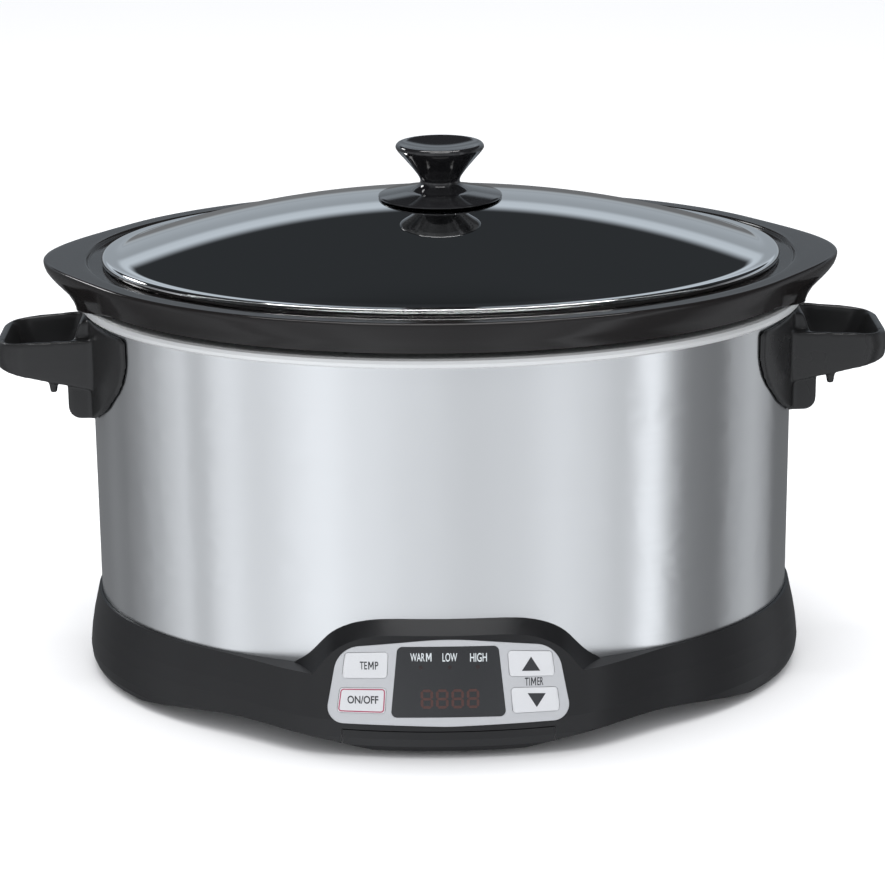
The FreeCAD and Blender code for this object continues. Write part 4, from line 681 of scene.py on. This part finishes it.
# ---- control panel prints -----------------------------------------------------------------
PANEL_TILT = math.atan2(9.0, 40.0)      # leans back 9 in 40
PANEL_AHEAD = 14.2 * MM                 # in front of the wrap
PANEL_HEIGHT = 38.0 * MM
PANEL_OVAL = 6.6 * MM                   # outside the wrap, the oval whose front it bends with
PANEL_MIDDLE = Vector((0, -(HALF_WIDTH + PANEL_AHEAD), PANEL_HEIGHT))
PANEL_RADIUS = (HALF_LENGTH + PANEL_OVAL) ** 2 / (HALF_WIDTH + PANEL_OVAL)
PANEL_UP = Vector((0, math.sin(PANEL_TILT), math.cos(PANEL_TILT)))
PANEL_OUT = Vector((0, -math.cos(PANEL_TILT), math.sin(PANEL_TILT)))
PLATE_DEPTH = 0.3 * MM            # plate and window, under the panel's face
KEY_DEPTH = -0.05 * MM            # keys, just proud of it
PRINT = 0.04 * MM                 # half of an ink's thickness
KEY_GROWTH = 0.18 * MM
DIGIT_COUNT = 4
DIGIT_WIDTH = 4.6                 # mm between the middles of a digit's bars
DIGIT_HEIGHT = 7.8
DIGIT_PITCH = 7.2
BAR = 1.25
BAR_GAP = 0.12
STRIP = 2.0                       # mm, prints are cut this wide to bend
LETTER_GAP = 0.55                 # mm
SAME_LETTER_POINT = 0.00001
WEIGHT = 0.012                    # letters thickened, as a share of their size


def on_panel(u, v, depth):
    """Point u across and v up the curved panel, depth under its face."""
    out = math.sqrt((PANEL_RADIUS - depth) ** 2 - u ** 2) - PANEL_RADIUS
    return PANEL_MIDDLE + Vector((u, 0, 0)) + PANEL_UP * v + PANEL_OUT * out


def lay_print(name, bm, depth, finish, body):
    """Flat (u, v) print in mm, cut into strips, bent to the panel and given its ink's thickness."""
    low = min(v.co.x for v in bm.verts)
    high = max(v.co.x for v in bm.verts)
    cut = math.ceil(low / STRIP) * STRIP
    while cut < high:
        bmesh.ops.bisect_plane(bm, geom=bm.verts[:] + bm.edges[:] + bm.faces[:],
                               plane_co=(cut, 0, 0), plane_no=(1, 0, 0))
        cut += STRIP
    bmesh.ops.triangulate(bm, faces=bm.faces[:])
    bmesh.ops.recalc_face_normals(bm, faces=bm.faces[:])
    if sum(f.normal.z for f in bm.faces) < 0:
        bmesh.ops.reverse_faces(bm, faces=bm.faces[:])
    made = bmesh.ops.extrude_face_region(bm, geom=bm.faces[:], use_keep_orig=True)["geom"]
    raised = {v for v in made if isinstance(v, bmesh.types.BMVert)}
    for vertex in bm.verts:
        lift = PRINT if vertex in raised else -PRINT
        vertex.co = on_panel(vertex.co.x * MM, vertex.co.y * MM, depth - lift)
    bmesh.ops.recalc_face_normals(bm, faces=bm.faces[:])
    new_piece(name, bm, finish, body, ())


def word_shape(text, box, weight=WEIGHT):
    """Lettering fitted into the box (left, bottom, right, top) in mm."""
    curve = bpy.data.curves.new(text, "FONT")
    curve.body = text
    curve.offset = weight
    letters = bpy.data.objects.new(text, curve)
    bpy.context.scene.collection.objects.link(letters)
    bpy.context.view_layer.update()
    mesh = bpy.data.meshes.new_from_object(letters)
    bpy.data.objects.remove(letters)
    bm = bmesh.new()
    bm.from_mesh(mesh)
    bpy.data.meshes.remove(mesh)
    bmesh.ops.remove_doubles(bm, verts=bm.verts[:], dist=SAME_LETTER_POINT)
    left, bottom, right, top = box
    low = Vector((min(v.co.x for v in bm.verts), min(v.co.y for v in bm.verts)))
    high = Vector((max(v.co.x for v in bm.verts), max(v.co.y for v in bm.verts)))
    for vertex in bm.verts:
        across = (vertex.co.x - low.x) / (high.x - low.x)
        rise = (vertex.co.y - low.y) / (high.y - low.y)
        vertex.co = (left + (right - left) * across, bottom + (top - bottom) * rise, 0)
    return bm


def outline_shape(corners):
    bm = bmesh.new()
    bm.faces.new([bm.verts.new((u, v, 0)) for u, v in corners])
    return bm


# An M with open corners, in a box one wide and one high.
LETTER_M = [(0, 0), (0.2, 0), (0.2, 0.64), (0.5, 0.14), (0.8, 0.64), (0.8, 0), (1, 0), (1, 1),
            (0.77, 1), (0.5, 0.46), (0.23, 1), (0, 1)]


def word_with_m(before, after, box, m_left, m_right):
    """Word whose M, from m_left to m_right, is open enough to read when condensed."""
    left, bottom, right, top = box
    bm = word_shape(before, (left, bottom, m_left - LETTER_GAP, top))
    bm.faces.new([bm.verts.new((m_left + (m_right - m_left) * x, bottom + (top - bottom) * y, 0))
                  for x, y in LETTER_M])
    if after:
        rest = word_shape(after, (m_right + LETTER_GAP, bottom, right, top))
        carrier = bpy.data.meshes.new("carrier")
        rest.to_mesh(carrier)
        rest.free()
        bm.from_mesh(carrier)
        bpy.data.meshes.remove(carrier)
    return bm


def dot_shape(u, v, radius):
    bm = bmesh.new()
    bmesh.ops.create_circle(bm, cap_ends=True, segments=20, radius=radius,
                            matrix=Matrix.Translation((u, v, 0)))
    return bm


def frame_shape(corners, width, corner_radius):
    """Narrow rounded border just inside an outline."""
    bm = outline_shape(corners)
    bmesh.ops.bevel(bm, geom=bm.verts[:], offset=corner_radius, segments=5, profile=0.5,
                    affect="VERTICES", material=-1)
    inside = bm.faces[:]
    bmesh.ops.inset_region(bm, faces=inside, thickness=width, use_boundary=True,
                           use_even_offset=True)
    bmesh.ops.delete(bm, geom=inside, context="FACES")
    return bm


def segment_digit(u, v):
    """The seven bars of one display digit, as flat hexagons."""
    bm = bmesh.new()
    half = DIGIT_HEIGHT / 2

    def bar_face(x0, y0, x1, y1):
        along = Vector((x1 - x0, y1 - y0)).normalized()
        side = Vector((-along.y, along.x)) * BAR / 2
        a = Vector((x0, y0)) + along * BAR_GAP
        b = Vector((x1, y1)) - along * BAR_GAP
        tip = along * BAR / 2
        corners = (a, a + tip - side, b - tip - side, b, b - tip + side, a + tip + side)
        bm.faces.new([bm.verts.new((*p, 0)) for p in corners])

    for level in (0, half, DIGIT_HEIGHT):
        bar_face(u, v + level, u + DIGIT_WIDTH, v + level)
    for x in (u, u + DIGIT_WIDTH):
        bar_face(x, v, x, v + half)
        bar_face(x, v + half, x, v + DIGIT_HEIGHT)
    return bm


def key_pad(node, body):
    """Key with its sides grown to leave only a hairline round it."""
    bm = cad_copy(node)
    spots = [v.co - PANEL_MIDDLE for v in bm.verts]
    across = [p.x for p in spots]
    rise = [p.dot(PANEL_UP) for p in spots]
    middle_x = (min(across) + max(across)) / 2
    middle_v = (min(rise) + max(rise)) / 2
    for vertex, u, v in zip(bm.verts, across, rise):
        vertex.co.x += KEY_GROWTH * (u - middle_x) / (max(across) - middle_x)
        vertex.co += PANEL_UP * (KEY_GROWTH * (v - middle_v) / (max(rise) - middle_v))
    new_piece(body + "_pad", bm, KEY_SILVER, body, [node])


def key_print(name, shape, ink, key):
    lay_print(name, shape, KEY_DEPTH, ink, key)


def window_print(name, shape, ink):
    lay_print(name, shape, PLATE_DEPTH, ink, "housing")


# Places in mm across and up the panel: words as left, bottom, right, top, the M as left, right.
TEMP_BOX, TEMP_M = (-41.3, 7.0, -32.6, 10.7), (-37.35, -34.75)
ON_OFF_BOX, ON_OFF_WEIGHT = (-47.3, -9.2, -32.8, -5.5), 0.02
BORDER = [(-51.9, -13.0), (-30.2, -13.4), (-29.5, -2.2), (-50.4, -2.2)]
BORDER_WIDTH, BORDER_CORNER = 0.55, 1.6
UP_ARROW = [(34.5, 5.4), (43.2, 5.2), (38.9, 12.0)]
DOWN_ARROW = [(37.1, -5.2), (41.4, -12.0), (45.7, -5.5)]
TIMER_BOX, TIMER_M = (35.9, -1.7, 44.6, 2.1), (38.8, 41.2)
WARM_BOX, WARM_M = (-17.6, 10.8, -7.7, 14.7), (-10.3, -7.7)
LOW_BOX = (-2.6, 10.6, 4.3, 14.6)
HIGH_BOX = (10.3, 10.3, 18.2, 14.4)
LAMPS, LAMP_LEVEL, LAMP_RADIUS = (-12.7, 0.8, 13.9), 7.9, 0.9
FIRST_DIGIT, DIGIT_LEVEL = -12.4, -10.9

for button, key_body in KEYS.items():
    key_pad(button, key_body)
key_print("temp_word", word_with_m("TE", "P", TEMP_BOX, *TEMP_M), LABEL_DARK, "temp_key")
key_print("on_off_word", word_shape("ON/OFF", ON_OFF_BOX, ON_OFF_WEIGHT), LABEL_DARK, "power_key")
key_print("on_off_border", frame_shape(BORDER, BORDER_WIDTH, BORDER_CORNER), LABEL_CRIMSON,
          "power_key")
key_print("up_arrow", outline_shape(UP_ARROW), LABEL_DARK, "timer_up_key")
key_print("down_arrow", outline_shape(DOWN_ARROW), LABEL_DARK, "timer_down_key")
lay_print("timer_word", word_with_m("TI", "ER", TIMER_BOX, *TIMER_M), PLATE_DEPTH, LABEL_DARK,
          "housing")
window_print("warm_word", word_with_m("WAR", "", WARM_BOX, *WARM_M), LABEL_PALE)
window_print("low_word", word_shape("LOW", LOW_BOX), LABEL_PALE)
window_print("high_word", word_shape("HIGH", HIGH_BOX), LABEL_PALE)
for i, spot in enumerate(LAMPS):
    window_print("lamp_dot_%d" % (i + 1), dot_shape(spot, LAMP_LEVEL, LAMP_RADIUS), DIM_LAMP)
for i in range(DIGIT_COUNT):
    digit = segment_digit(FIRST_DIGIT + DIGIT_PITCH * i, DIGIT_LEVEL)
    window_print("display_digit_%d" % (i + 1), digit, SEGMENT_BROWN)
